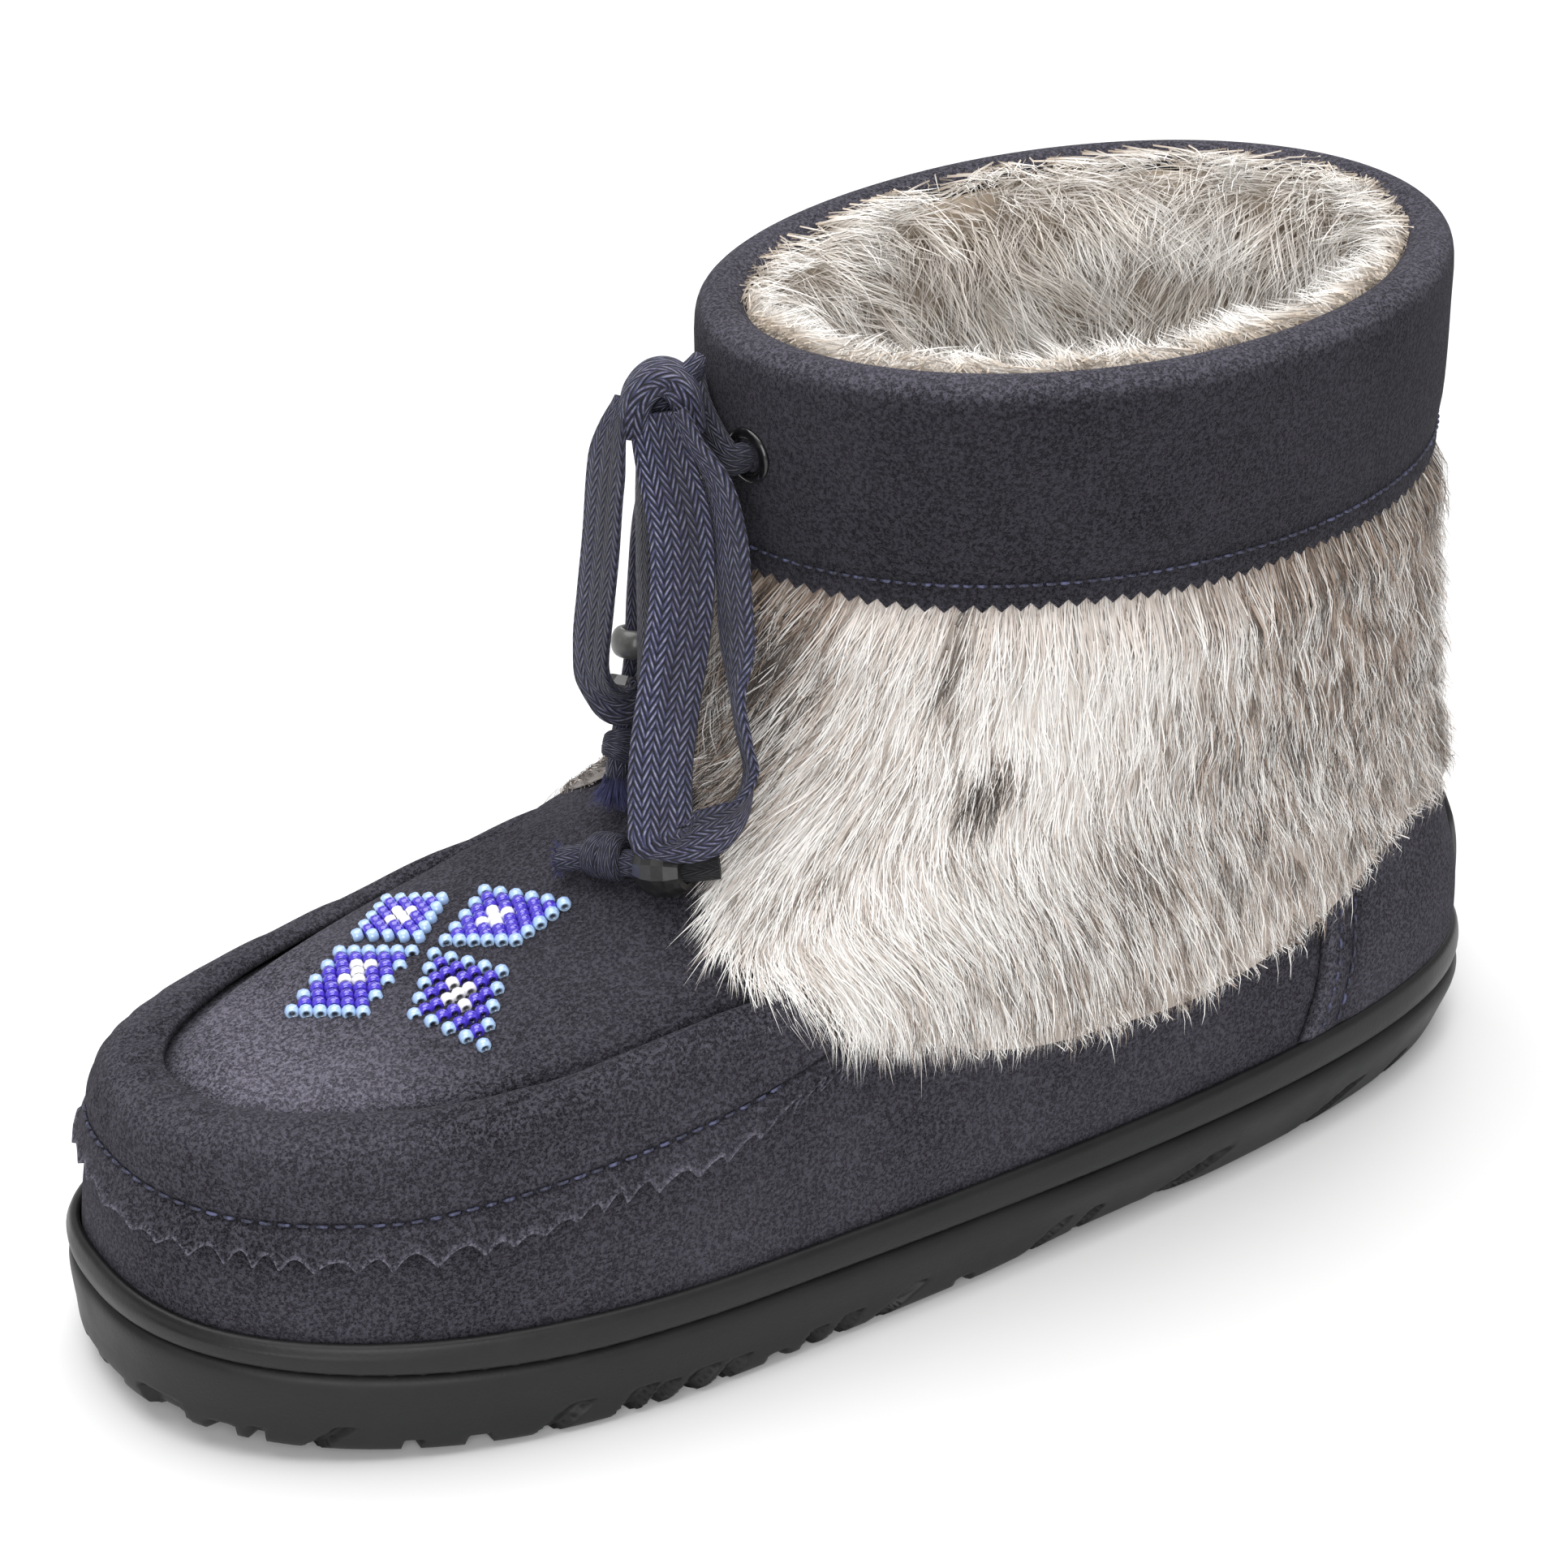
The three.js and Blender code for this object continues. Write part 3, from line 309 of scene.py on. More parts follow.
def face(ring, degrees):
    """Point of the upper: two half superellipses in plan, a smooth height round the ring."""
    ring, degrees = np.broadcast_arrays(np.asarray(ring, float), np.asarray(degrees, float))
    r = along(SECTIONS, ring)
    front, wide, back, toe, outer, inner, nf, nb, waist = [r[..., k] for k in range(9)]
    c, s = np.cos(np.radians(degrees)), np.sin(np.radians(degrees))
    n = np.where(c >= 0, nf, nb)
    reach, spread = np.abs(c) ** (2 / n), np.abs(s) ** (2 / n)
    x = wide + (np.where(c >= 0, front, back) - wide) * reach
    hollow = np.where(s < 0, 1 - 2.4 * waist * bell(x - 38, 45), 1.0)
    half = np.where(s >= 0, outer, inner) * hollow
    y = np.where(c >= 0, toe * reach * reach, 0.0) - np.sign(s) * half * spread
    z0, z30, z60, z90, z180 = [r[..., 9 + k] for k in range(5)]
    rise = z180 - z90
    rows = np.stack([2 * z30 - z0, z30, z0, z30, z60, z90, z90 + 0.25 * rise, z90 + 0.75 * rise,
                     z180, z90 + 0.75 * rise, z90 + 0.5 * rise])
    t = around(degrees) / 30.0 + 1.0
    i = np.minimum(t.astype(int), 7)
    p = [np.take_along_axis(rows, (i + k)[None], 0)[0] for k in range(4)]
    return np.stack([x, y, cubic(*p, t - i)], -1)


def run_along(points):
    """Distance from the start of a line to each of its points."""
    return np.concatenate([[0.0], np.cumsum(np.linalg.norm(np.diff(points, axis=0), axis=1))])


def arc_table():
    """For rings a twentieth apart: the angles at even shares of the way round, and the girths."""
    fine, shares = np.linspace(-180, 180, 4001), np.linspace(0, 1, 1441)
    runs = np.stack([run_along(line) for line in face(ARC_RINGS[:, None], fine[None])])
    return np.stack([np.interp(shares * run[-1], run, fine) for run in runs]), runs[:, -1]


ARC_RINGS = np.arange(201) / 20.0
ARC_ANGLES, ARC_GIRTHS = arc_table()


def turn_at(ring, share):
    """Angle at a share of the way round a ring, straight between the entries of the arc table."""
    y, x = np.clip(ring, 0, 9.99) * 20.0, (share % 1.0) * 1440.0
    i, j = y.astype(int), np.minimum(x.astype(int), 1439)
    f, g = y - i, x - j
    low = (1 - g) * ARC_ANGLES[i, j] + g * ARC_ANGLES[i, j + 1]
    return (1 - f) * low + f * ((1 - g) * ARC_ANGLES[i + 1, j] + g * ARC_ANGLES[i + 1, j + 1])


def unit(v):
    """Vectors of length one."""
    return v / np.maximum(np.linalg.norm(v, axis=-1, keepdims=True), 1e-9)


def normal(ring, degrees):
    """Outward normal of the upper from two short steps along and round it.

    Outward is away from the middle of the shaft, or from a line along the middle of the foot.
    """
    ring, degrees = np.broadcast_arrays(np.asarray(ring, float), np.asarray(degrees, float))
    up = face(np.minimum(ring + 0.04, 10.0), degrees) - face(np.maximum(ring - 0.04, 0.0), degrees)
    turn = face(ring, degrees + 0.8) - face(ring, degrees - 0.8)
    n = unit(np.cross(up, turn))
    p = face(ring, degrees)
    x, z = p[..., 0], p[..., 2]
    shaft = (z > 60) & (x > -20)
    axis = np.stack([np.where(shaft, SHAFT_X, np.clip(x, -60, 80)), np.full(x.shape, SHAFT_Y),
                     np.where(shaft, z, np.minimum(z, 50))], -1)
    flip = np.sum(n * (p - axis), -1) < 0
    return np.where(flip[..., None], -n, n)


def off(ring, degrees, distance):
    """Point of the upper moved out along its normal."""
    return face(ring, degrees) + normal(ring, degrees) * np.asarray(distance, float)[..., None]


def even_angles(count, ring, start=-180.0, end=180.0, closed=True):
    """Angles that divide a ring into steps of equal length."""
    fine = np.linspace(start, end, 6001)
    run = run_along(face(np.full(6001, float(ring)), fine))
    return np.interp(np.linspace(0, run[-1], count, endpoint=not closed), run, fine)


def even_places(points, count):
    """Places on a smooth curve through the points that divide it into equal lengths."""
    t = np.linspace(0, len(points) - 1, 60 * len(points))
    run = run_along(along(np.asarray(points, float), t))
    return np.interp(np.linspace(0, run[-1], count), run, t)


def spline(points, count):
    """Even steps along a smooth curve through the points."""
    return along(np.asarray(points, float), even_places(points, count))


def over_plan(xy, guess):
    """Degrees and ring of the upper over places in plan, by repeated straight-line steps."""
    degrees, ring = guess[:, 0].copy(), guess[:, 1].copy()
    for _ in range(10):
        p = face(ring, degrees)[:, :2]
        a = 2.0 * (face(ring, degrees + 0.5)[:, :2] - p)
        b = 50.0 * (face(ring + 0.02, degrees)[:, :2] - p)
        miss = xy - p
        spread = a[:, 0] * b[:, 1] - a[:, 1] * b[:, 0]
        degrees += (miss[:, 0] * b[:, 1] - miss[:, 1] * b[:, 0]) / spread
        ring += (a[:, 0] * miss[:, 1] - a[:, 1] * miss[:, 0]) / spread
    return np.stack([degrees, ring], -1)


def crease(ring, degrees):
    """Depth of the soft creases: each a trough of bell section along a line, fading at its ends."""
    p = face(ring, degrees)
    depth = np.zeros(p.shape[:-1])
    for d0, r0, d1, r1, width, deep in CREASES:
        a, b = face(np.array([r0, r1]), np.array([d0, d1]))
        t = np.clip(np.sum((p - a) * (b - a), -1) / np.sum((b - a) ** 2), -0.2, 1.2)
        gap = np.linalg.norm(p - a - t[..., None] * (b - a), axis=-1)
        fade = smooth((t + 0.2) / 0.4) * smooth((1.2 - t) / 0.4)
        depth += deep * bell(gap, 0.5 * width) * fade
    return depth


def flow(ring, share, length, lean, comb, steps):
    """Rings and shares round of paths that run down the upper as a drop would, turned by a lean.

    A part of the way's drift to the boot's right is combed out of it.  Each step solves for the
    change of ring and share whose move on the surface is that way.
    """
    rings, shares = [ring], [share]
    at_share = lambda r, s: face(r, turn_at(r, s))
    for _ in range(steps):
        a = 500.0 * (at_share(ring, share + 0.001) - at_share(ring, share - 0.001))
        b = (at_share(ring + 0.06, share) - at_share(ring - 0.06, share)) / 0.12
        n = unit(np.cross(a, b))
        way = unit(n * n[:, 2:] - UP)
        drift = comb * (way @ RIGHT)
        way = unit(way - drift[:, None] * (RIGHT - n * (n @ RIGHT)[:, None]))
        way = way + lean[:, None] * unit(a)
        aa, ab, bb = np.sum(a * a, -1), np.sum(a * b, -1), np.sum(b * b, -1)
        av, bv = np.sum(a * way, -1), np.sum(b * way, -1)
        spread = aa * bb - ab * ab
        da, db = (av * bb - bv * ab) / spread, (bv * aa - av * ab) / spread
        move = length / steps / np.linalg.norm(a * da[:, None] + b * db[:, None], axis=-1)
        ring, share = np.clip(ring + db * move, 1.2, 9.3), share + da * move
        rings.append(ring)
        shares.append(share)
    return np.stack(rings, 1), np.stack(shares, 1)


def place(x):
    """Share of the boot's length, from the toe."""
    return (x + HALF_LENGTH) / (2 * HALF_LENGTH)


def spring(x):
    """Rise of the sole under the toe."""
    return 4.8 * np.maximum(1 - place(x) / 0.25, 0.0) ** 1.7


def sole_top(x):
    """Height of the sole's upper face."""
    return 15.4 - 2.3 * (place(x) - 0.5) + spring(x)


def sole_foot(x):
    """Height of the sole's lower face, with its arch and heel rise."""
    arch = smooth((x - 4) / 26) * smooth((60 - x) / 20)
    return spring(x) + 1.2 * arch + 1.2 * smooth((x - 118) / 22)


def tuck(x):
    """How far the sole's side leans in at its foot."""
    return 1 + 2.4 * smooth((x + 90) / 150)


def midline(x):
    """Places in plan along the middle of the sole, bent inwards at the toe, short of its ends."""
    x = np.clip(x, -110, 110)
    return np.stack([x, 6 * np.maximum(-x / HALF_LENGTH, 0) ** 2], -1)


def outline(degrees, inset):
    """Plan of the sole's edge, drawn in by a distance."""
    degrees, inset = np.broadcast_arrays(np.asarray(degrees, float), np.asarray(inset, float))
    return off(np.ones_like(degrees), degrees, SOLE_EDGE - inset)[..., :2]


def cuff_point(degrees, out, z):
    """Point of the cuff at a distance out from the collar's wall and a height."""
    degrees, out, z = np.broadcast_arrays(*[np.asarray(v, float) for v in (degrees, out, z)])
    ring = 9 + (np.minimum(z, COLLAR) - SHAFT_FOOT) / (COLLAR - SHAFT_FOOT)
    p = off(ring, degrees, out)
    p[..., 2] = z
    return p


def grid(rows, cols, closed=False):
    """Four-cornered faces between closed rows of points; the last row may join the first."""
    i = np.arange(rows if closed else rows - 1)[:, None]
    j = np.arange(cols)[None, :]
    i2, j2 = (i + 1) % rows, (j + 1) % cols
    corners = np.broadcast_arrays(i * cols + j, i * cols + j2, i2 * cols + j2, i2 * cols + j)
    return np.stack(corners, -1).reshape(-1, 4)


def copied(quads, each, count):
    """Faces of one form of so many points, once for each of its copies."""
    return (quads[None] + (each * np.arange(count))[:, None, None]).reshape(-1, 4)


def tube(rows, cols):
    """Faces of a closed section (columns) along rows, each end closed by quads across it."""
    j = np.arange(cols // 2 - 1)
    end = np.stack([j, j + 1, cols - 2 - j, cols - 1 - j], -1)
    return np.concatenate([grid(rows, cols), end[:, ::-1], end + (rows - 1) * cols])


NO_TRIS = np.zeros((0, 3), int)


def volume(points, quads, tris):
    """Signed volume inside the faces."""
    t = np.concatenate([tris, quads[:, [0, 1, 2]], quads[:, [0, 2, 3]]])
    a, b, c = points[t[:, 0]], points[t[:, 1]], points[t[:, 2]]
    return float(np.sum(a * np.cross(b, c)))


def shell(points, quads, tris=NO_TRIS, uv=None, tint=None):
    """A closed surface, turned right side out, as one bundle of arrays."""
    points = np.asarray(points, float).reshape(-1, 3)
    middle = points.mean(0)
    if volume(points - middle, quads, tris) < 0:
        quads, tris = quads[:, ::-1], tris[:, ::-1]
    uv = np.zeros((len(points), 2)) if uv is None else np.asarray(uv, float).reshape(-1, 2)
    tint = np.ones((len(points), 3)) if tint is None else np.asarray(tint, float).reshape(-1, 3)
    return points, quads, tris, uv, tint


def joined(shells):
    """Several bundles as one."""
    start = np.cumsum([0] + [len(s[0]) for s in shells[:-1]])
    moved = [(s[0], s[1] + k, s[2] + k, s[3], s[4]) for s, k in zip(shells, start)]
    return tuple(np.concatenate(arrays) for arrays in zip(*moved))


def welded(bundle, digits=3):
    """The same bundle with points in one place made one, and flat faces dropped."""
    points, quads, tris, uv, tint = bundle
    unique, first, back = np.unique(np.round(points, digits), axis=0, return_index=True,
                                    return_inverse=True)
    back = back.reshape(-1)
    quads, tris = back[quads], back[tris]
    same = quads == np.roll(quads, -1, 1)
    folds = same.sum(1)
    tris = np.concatenate([tris, quads[folds == 1][~same[folds == 1]].reshape(-1, 3)])
    tris = tris[(tris != np.roll(tris, -1, 1)).all(1)]
    return unique, quads[folds == 0], tris, uv[first], tint[first]


def piece(name, bundle, material, replaced=(), flat=False):
    """Puts a bundle into the scene as a piece that rides on the boot."""
    points, quads, tris, uv, tint = bundle
    mesh = bpy.data.meshes.new(name)
    loops = np.concatenate([quads.reshape(-1), tris.reshape(-1)]).astype(np.int32)
    starts = np.concatenate([4 * np.arange(len(quads)), 4 * len(quads) + 3 * np.arange(len(tris))])
    mesh.vertices.add(len(points))
    mesh.vertices.foreach_set("co", (points * MM).astype(np.float32).reshape(-1))
    mesh.loops.add(len(loops))
    mesh.loops.foreach_set("vertex_index", loops)
    mesh.polygons.add(len(starts))
    mesh.polygons.foreach_set("loop_start", starts.astype(np.int32))
    mesh.polygons.foreach_set("use_smooth", np.full(len(starts), not flat))
    mesh.update(calc_edges=True)
    layer = mesh.uv_layers.new(name="UVMap")
    layer.data.foreach_set("uv", uv[loops].astype(np.float32).reshape(-1))
    colour = mesh.color_attributes.new(name="tint", type="FLOAT_COLOR", domain="POINT")
    rgba = np.concatenate([tint, np.ones((len(tint), 1))], 1)
    colour.data.foreach_set("color", rgba.astype(np.float32).reshape(-1))
    mesh.validate()
    obj = bpy.data.objects.new(name, mesh)
    bpy.context.scene.collection.objects.link(obj)
    mesh.materials.append(material)
    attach(obj, "root")
    if replaced:
        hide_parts(*replaced)
    return obj


def tinted(bundle, tint):
    """A bundle with a grey or coloured tint for each of its points."""
    tint = np.asarray(tint, float)
    if tint.size == len(bundle[0]):
        tint = np.repeat(tint.reshape(-1, 1), 3, 1)
    return bundle[:4] + (tint.reshape(-1, 3),)


def ring_shell(profiles):
    """A closed profile (columns) carried round a closed path (rows)."""
    return shell(profiles, grid(*profiles.shape[:2], closed=True))


def loop_shell(loops):
    """Closed loops (rows) one after another, the first and the last drawn together to a line."""
    return welded(shell(loops, grid(*loops.shape[:2])))


def patch_shell(profiles):
    """Closed profiles side by side; each end is closed by quads between its two faces."""
    return shell(profiles, tube(*profiles.shape[:2]))


def strip(rings, degrees, inner, outer):
    """Profiles of a sheet on the upper: its outer face up the rings and its inner face back."""
    ahead = off(rings, degrees, outer)
    behind = off(rings, degrees, inner)
    return np.concatenate([ahead, behind[:, ::-1]], 1)


def ribbon(route, across, width, thick, steps, sides=20, cup=0.0):
    """A flat cord: an oblong section with round edges, its width along the given directions.

    The section is cupped by a parabola across its width.  U runs over each face by length, V
    along the cord.
    """
    places = even_places(route, steps)
    centre = along(np.asarray(route, float), places)
    tangent = unit(np.gradient(centre, axis=0))
    wide = along(np.asarray(across, float), places)
    wide = unit(wide - np.sum(wide * tangent, -1, keepdims=True) * tangent)
    thin = np.cross(tangent, wide)
    a = np.linspace(0, 2 * math.pi, sides, endpoint=False)
    u = np.sign(np.cos(a)) * np.abs(np.cos(a)) ** 0.6
    v = np.sign(np.sin(a)) * np.abs(np.sin(a)) ** 0.75
    width = np.broadcast_to(np.asarray(width, float), (steps,))[:, None, None]
    thick = np.broadcast_to(np.asarray(thick, float), (steps,))[:, None, None]
    rise = 0.5 * thick * v[None, :, None] + cup * (u[None, :, None] ** 2 - 0.4)
    skin = centre[:, None] + wide[:, None] * (0.5 * width * u[None, :, None]) + thin[:, None] * rise
    run = run_along(centre) / BRAID_LENGTH
    arc = run_along(np.stack([u * width.mean(), v * thick.mean()], -1))
    arc = arc / arc[sides // 2]
    arc = np.where(arc > 1, np.maximum(2 - arc, 0), arc)
    uv = np.stack(np.broadcast_arrays(1 - arc[None, :], run[:, None]), -1)
    points = np.concatenate([skin.reshape(-1, 3), centre[:1], centre[-1:]])
    uv = np.concatenate([uv.reshape(-1, 2), [[0.5, 0.0], [0.5, run[-1]]]])
    j = np.arange(sides)
    k = (j + 1) % sides
    base, first = (steps - 1) * sides, np.full(sides, steps * sides)
    caps = np.concatenate([np.stack([first, k, j], -1),
                           np.stack([first + 1, base + j, base + k], -1)])
    return shell(points, grid(steps, sides), caps, uv)


def hair(paths, normals, width, tint, roll):
    """Hairs as narrow ribbons along paths of equal count of points, closing to a tip.

    Each ribbon's width lies across the path in the surface, turned by its own roll.
    """
    n, k = paths.shape[:2]
    tangent = unit(np.gradient(paths, axis=1))
    side = unit(np.cross(normals, tangent))
    rise = np.cross(tangent, side)
    side = side * np.cos(roll)[:, None, None] + rise * np.sin(roll)[:, None, None]
    taper = (1 - np.linspace(0, 1, k)[:-1] ** 1.6)[None, :, None]
    half = 0.5 * width[:, None, None] * taper * side[:, :-1]
    edges = np.stack([paths[:, :-1] + half, paths[:, :-1] - half], 2).reshape(n, -1, 3)
    points = np.concatenate([edges, paths[:, -1:]], 1).reshape(-1, 3)
    colour = np.concatenate([np.repeat(tint[:, :-1], 2, 1), tint[:, -1:]], 1).reshape(-1, 3)
    per = 2 * k - 1
    start = (per * np.arange(n))[:, None]
    m = start + 2 * np.arange(k - 2)[None, :]
    quads = np.stack([m, m + 1, m + 3, m + 2], -1).reshape(-1, 4)
    tris = start + per + np.array([[-3, -2, -1]])
    return points, quads, tris, np.zeros((len(points), 2)), colour


def lathe(profile, sides):
    """A closed profile of radius and height turned about the z axis."""
    a = np.linspace(0, 2 * math.pi, sides, endpoint=False)
    r, z = np.asarray(profile, float).T
    x, y = r[None] * np.cos(a)[:, None], r[None] * np.sin(a)[:, None]
    return ring_shell(np.stack(np.broadcast_arrays(x, y, z[None]), -1))


def turned(bundle, centre, direction):
    """A bundle with its z axis laid along a direction, moved to a centre."""
    spin = np.array(Vector((0, 0, 1)).rotation_difference(Vector(direction)).to_matrix())
    return (bundle[0] @ spin.T + np.asarray(centre, float),) + bundle[1:]


def capsules(starts, ends, up, radius, sides=6):
    """Short threads from starts to ends: six-sided, four rows long, arched up in the middle."""
    rows = np.array([0.0, 0.12, 0.5, 0.88, 1.0])
    size = np.array([0.35, 0.9, 1.0, 0.9, 0.35])
    lift = np.array([-0.75, -0.1, 0.35, -0.1, -0.75])
    side = unit(np.cross(unit(ends - starts), up))
    top = np.cross(side, unit(ends - starts))
    a = np.linspace(0, 2 * math.pi, sides, endpoint=False)[None, None, :, None]
    centre = starts[:, None] + (ends - starts)[:, None] * rows[None, :, None]
    centre = centre + top[:, None] * (radius * lift[None, :, None])
    wheel = side[:, None, None] * np.cos(a) + top[:, None, None] * np.sin(a)
    points = centre[:, :, None] + radius * size[None, :, None, None] * wheel
    return shell(points, copied(tube(len(rows), sides), len(rows) * sides, len(starts)))


def stitch_row(line, up, margins, pitch, length, radius):
    """A row of stitches along a line, one every pitch, kept off its ends by two margins."""
    run = run_along(line)
    begin = np.arange(margins[0], run[-1] - margins[1], pitch)
    pick = lambda values, s: np.stack([np.interp(s, run, values[:, k]) for k in range(3)], -1)
    return capsules(pick(line, begin), pick(line, begin + length), unit(pick(up, begin)), radius)


def stitched(ring, degrees, out, pitch, radius):
    """A row of stitches along a line on the upper."""
    return stitch_row(off(ring, degrees, out), normal(ring, degrees), (0.3 * pitch, pitch), pitch,
                      0.7 * pitch, radius)


# Materials

def add_node(tree, kind, inputs=None, **settings):
    """A shader node with its settings, and its inputs set or linked."""
    made = tree.nodes.new(kind)
    for key, value in settings.items():
        setattr(made, key, value)
    for key, value in (inputs or {}).items():
        if isinstance(value, bpy.types.NodeSocket):
            tree.links.new(value, made.inputs[key])
        else:
            made.inputs[key].default_value = value
    return made


def noise(tree, scale, detail=2.0, rough=0.5):
    """Noise value at a scale in turns per metre, on the piece's own coordinates."""
    spot = tree.nodes.get("Place") or add_node(tree, "ShaderNodeTexCoord", name="Place")
    inputs = {"Vector": spot.outputs["Object"], "Scale": scale, "Detail": detail,
              "Roughness": rough}
    return add_node(tree, "ShaderNodeTexNoise", inputs).outputs["Fac"]


def ramp(tree, value, low, high, to_low=0.0, to_high=1.0):
    """A value moved from one span to another, held at its ends."""
    inputs = {"Value": value, "From Min": low, "From Max": high, "To Min": to_low,
              "To Max": to_high}
    return add_node(tree, "ShaderNodeMapRange", inputs).outputs["Result"]


def sums(tree, kind, a, b):
    """Two values put together."""
    return add_node(tree, "ShaderNodeMath", {0: a, 1: b}, operation=kind).outputs[0]


def mixed(tree, share, a, b, kind="MIX"):
    """Two colours put together by a share: the second laid over the first, or multiplied in."""
    full = lambda c: c if isinstance(c, bpy.types.NodeSocket) else (*c, 1.0)
    made = add_node(tree, "ShaderNodeMix", {0: share, 6: full(a), 7: full(b)}, data_type="RGBA",
                    blend_type=kind)
    return made.outputs[2]


def own_tint(tree):
    """The piece's own tint attribute."""
    return add_node(tree, "ShaderNodeAttribute", attribute_name="tint").outputs["Color"]


def by_tint(tree, colour):
    """A colour multiplied by the piece's own tint."""
    return mixed(tree, 1.0, colour, own_tint(tree), "MULTIPLY")


def bump(tree, height, strength, distance):
    """Normal of a height put on as bump."""
    inputs = {"Height": height, "Strength": strength, "Distance": distance}
    return add_node(tree, "ShaderNodeBump", inputs).outputs[0]


def toned(colour, factor, more=0.0):
    """A colour made lighter or darker."""
    return tuple(min(1.0, factor * v + more) for v in colour)


def shader_group(name, fill):
    """The named shader group, made once, with a value output for each result of its function."""
    if name not in bpy.data.node_groups:
        group = bpy.data.node_groups.new(name, "ShaderNodeTree")
        results = fill(group)
        for label in results:
            group.interface.new_socket(name=label, in_out="OUTPUT", socket_type="NodeSocketFloat")
        add_node(group, "NodeGroupOutput", results)
    return bpy.data.node_groups[name]


def nap_grain(group):
    """Suede nap: wide brushed patches, fine bright specks and a fibre height."""
    patch = ramp(group, noise(group, 30.0, 4.0, 0.62), 0.34, 0.68)
    speck = ramp(group, noise(group, 1450.0, 2.0, 0.62), 0.45, 0.56)
    pit = ramp(group, noise(group, 3000.0, 2.0, 0.6), 0.38, 0.62)
    grain = sums(group, "ADD", sums(group, "MULTIPLY", speck, 0.48),
                 sums(group, "MULTIPLY", pit, 0.36))
    tone = sums(group, "ADD", sums(group, "MULTIPLY", patch, 0.26), grain)
    return {"Tone": tone, "Height": grain}


def rubber_grain(group):
    """Moulded rubber: fine orange-peel height and a faint bloom of dust."""
    return {"Bloom": ramp(group, noise(group, 60.0, 4.0, 0.6), 0.4, 0.75),
            "Height": noise(group, 1500.0, 3.0, 0.55)}


def finish(name, fill, plain):
    """The named material, made once: a Principled shader with plain values and filled sockets."""
    if name not in bpy.data.materials:
        made = bpy.data.materials.new(name)
        made.use_nodes = True
        tree = made.node_tree
        tree.nodes.clear()
        shader = add_node(tree, "ShaderNodeBsdfPrincipled", {**plain, **fill(tree)})
        add_node(tree, "ShaderNodeOutputMaterial", {"Surface": shader.outputs[0]})
    return bpy.data.materials[name]


def suede_finish(name="Suede", lift=1.0):
    """Brushed suede: two tones by the nap, lift raising the light one, times the tint of painted
    light and shade; soft sheen, bump.
    """
    light, deep = toned(colours()["suede"], lift), colours()["suede_deep"]

    def fill(tree):
        nap = add_node(tree, "ShaderNodeGroup", node_tree=shader_group("Nap grain", nap_grain))
        body = mixed(tree, nap.outputs["Tone"], deep, light)
        return {"Base Color": by_tint(tree, body),
                "Normal": bump(tree, nap.outputs["Height"], 0.9, 0.0005)}
    return finish(name, fill, {"Roughness": 0.95, "Specular IOR Level": 0.1, "Sheen Weight": 0.1,
                               "Sheen Roughness": 0.4, "Sheen Tint": (0.62, 0.6, 0.7, 1.0)})


def rubber_finish(name, rough):
    """Moulded rubber with a faint bloom and orange-peel bump."""
    colour = colours()["rubber"]

    def fill(tree):
        grain = add_node(tree, "ShaderNodeGroup",
                         node_tree=shader_group("Rubber grain", rubber_grain))
        bloom = grain.outputs["Bloom"]
        return {"Base Color": mixed(tree, bloom, colour, toned(colour, 1.35, 0.002)),
                "Roughness": ramp(tree, bloom, 0.0, 1.0, rough - 0.06, rough + 0.1),
                "Normal": bump(tree, grain.outputs["Height"], 0.25, 0.0002)}
    return finish(name, fill, {"Specular IOR Level": 0.3})


def lace_finish(columns=8.0, strands=6.0, slope=1.6):
    """Flat herringbone braid by UV: slanted strands in columns that turn at each column's edge."""
    colour = colours()["lace"]

    def fill(tree):
        uv = add_node(tree, "ShaderNodeUVMap", uv_map="UVMap").outputs[0]
        split = add_node(tree, "ShaderNodeSeparateXYZ", {0: uv})
        across = sums(tree, "MULTIPLY", split.outputs[0], columns)
        slant = sums(tree, "ADD", sums(tree, "MULTIPLY", split.outputs[1], strands),
                     sums(tree, "MULTIPLY", sums(tree, "PINGPONG", across, 1.0), slope))
        wave = sums(tree, "SINE", sums(tree, "MULTIPLY", slant, 2 * math.pi), 0.0)
        strand = sums(tree, "POWER", ramp(tree, wave, -1.0, 1.0), 0.6)
        gap = ramp(tree, sums(tree, "PINGPONG", across, 0.5), 0.0, 0.2)
        height = sums(tree, "MULTIPLY", strand, ramp(tree, gap, 0.0, 1.0, 0.55, 1.0))
        fleck = sums(tree, "MULTIPLY", noise(tree, 900.0, 3.0, 0.7), height)
        # The hollows between the strands are painted dark as painted shade
        body = mixed(tree, ramp(tree, height, 0.2, 0.8), toned(colour, 0.1), colour)
        body = mixed(tree, ramp(tree, fleck, 0.36, 0.6, 0.0, 0.9), body, toned(colour, 1.5, 0.12))
        return {"Base Color": by_tint(tree, body), "Normal": bump(tree, height, 0.9, 0.0007)}
    return finish("Lace braid", fill, {"Roughness": 0.62, "Specular IOR Level": 0.35,
                                       "Sheen Weight": 0.05})


def tinted_finish(name, rough, specular, sheen=0.0, coat=0.0):
    """Colour from the piece's own tint attribute, broken up a little."""
    def fill(tree):
        tint = own_tint(tree)
        dim = mixed(tree, 1.0, tint, (0.62, 0.6, 0.58), "MULTIPLY")
        share = ramp(tree, noise(tree, 420.0), 0.3, 0.7, 0.0, 0.22)
        return {"Base Color": mixed(tree, share, tint, dim)}
    return finish(name, fill, {"Roughness": rough, "Specular IOR Level": specular,
                               "Sheen Weight": sheen, "Coat Weight": coat, "Coat Roughness": 0.06})


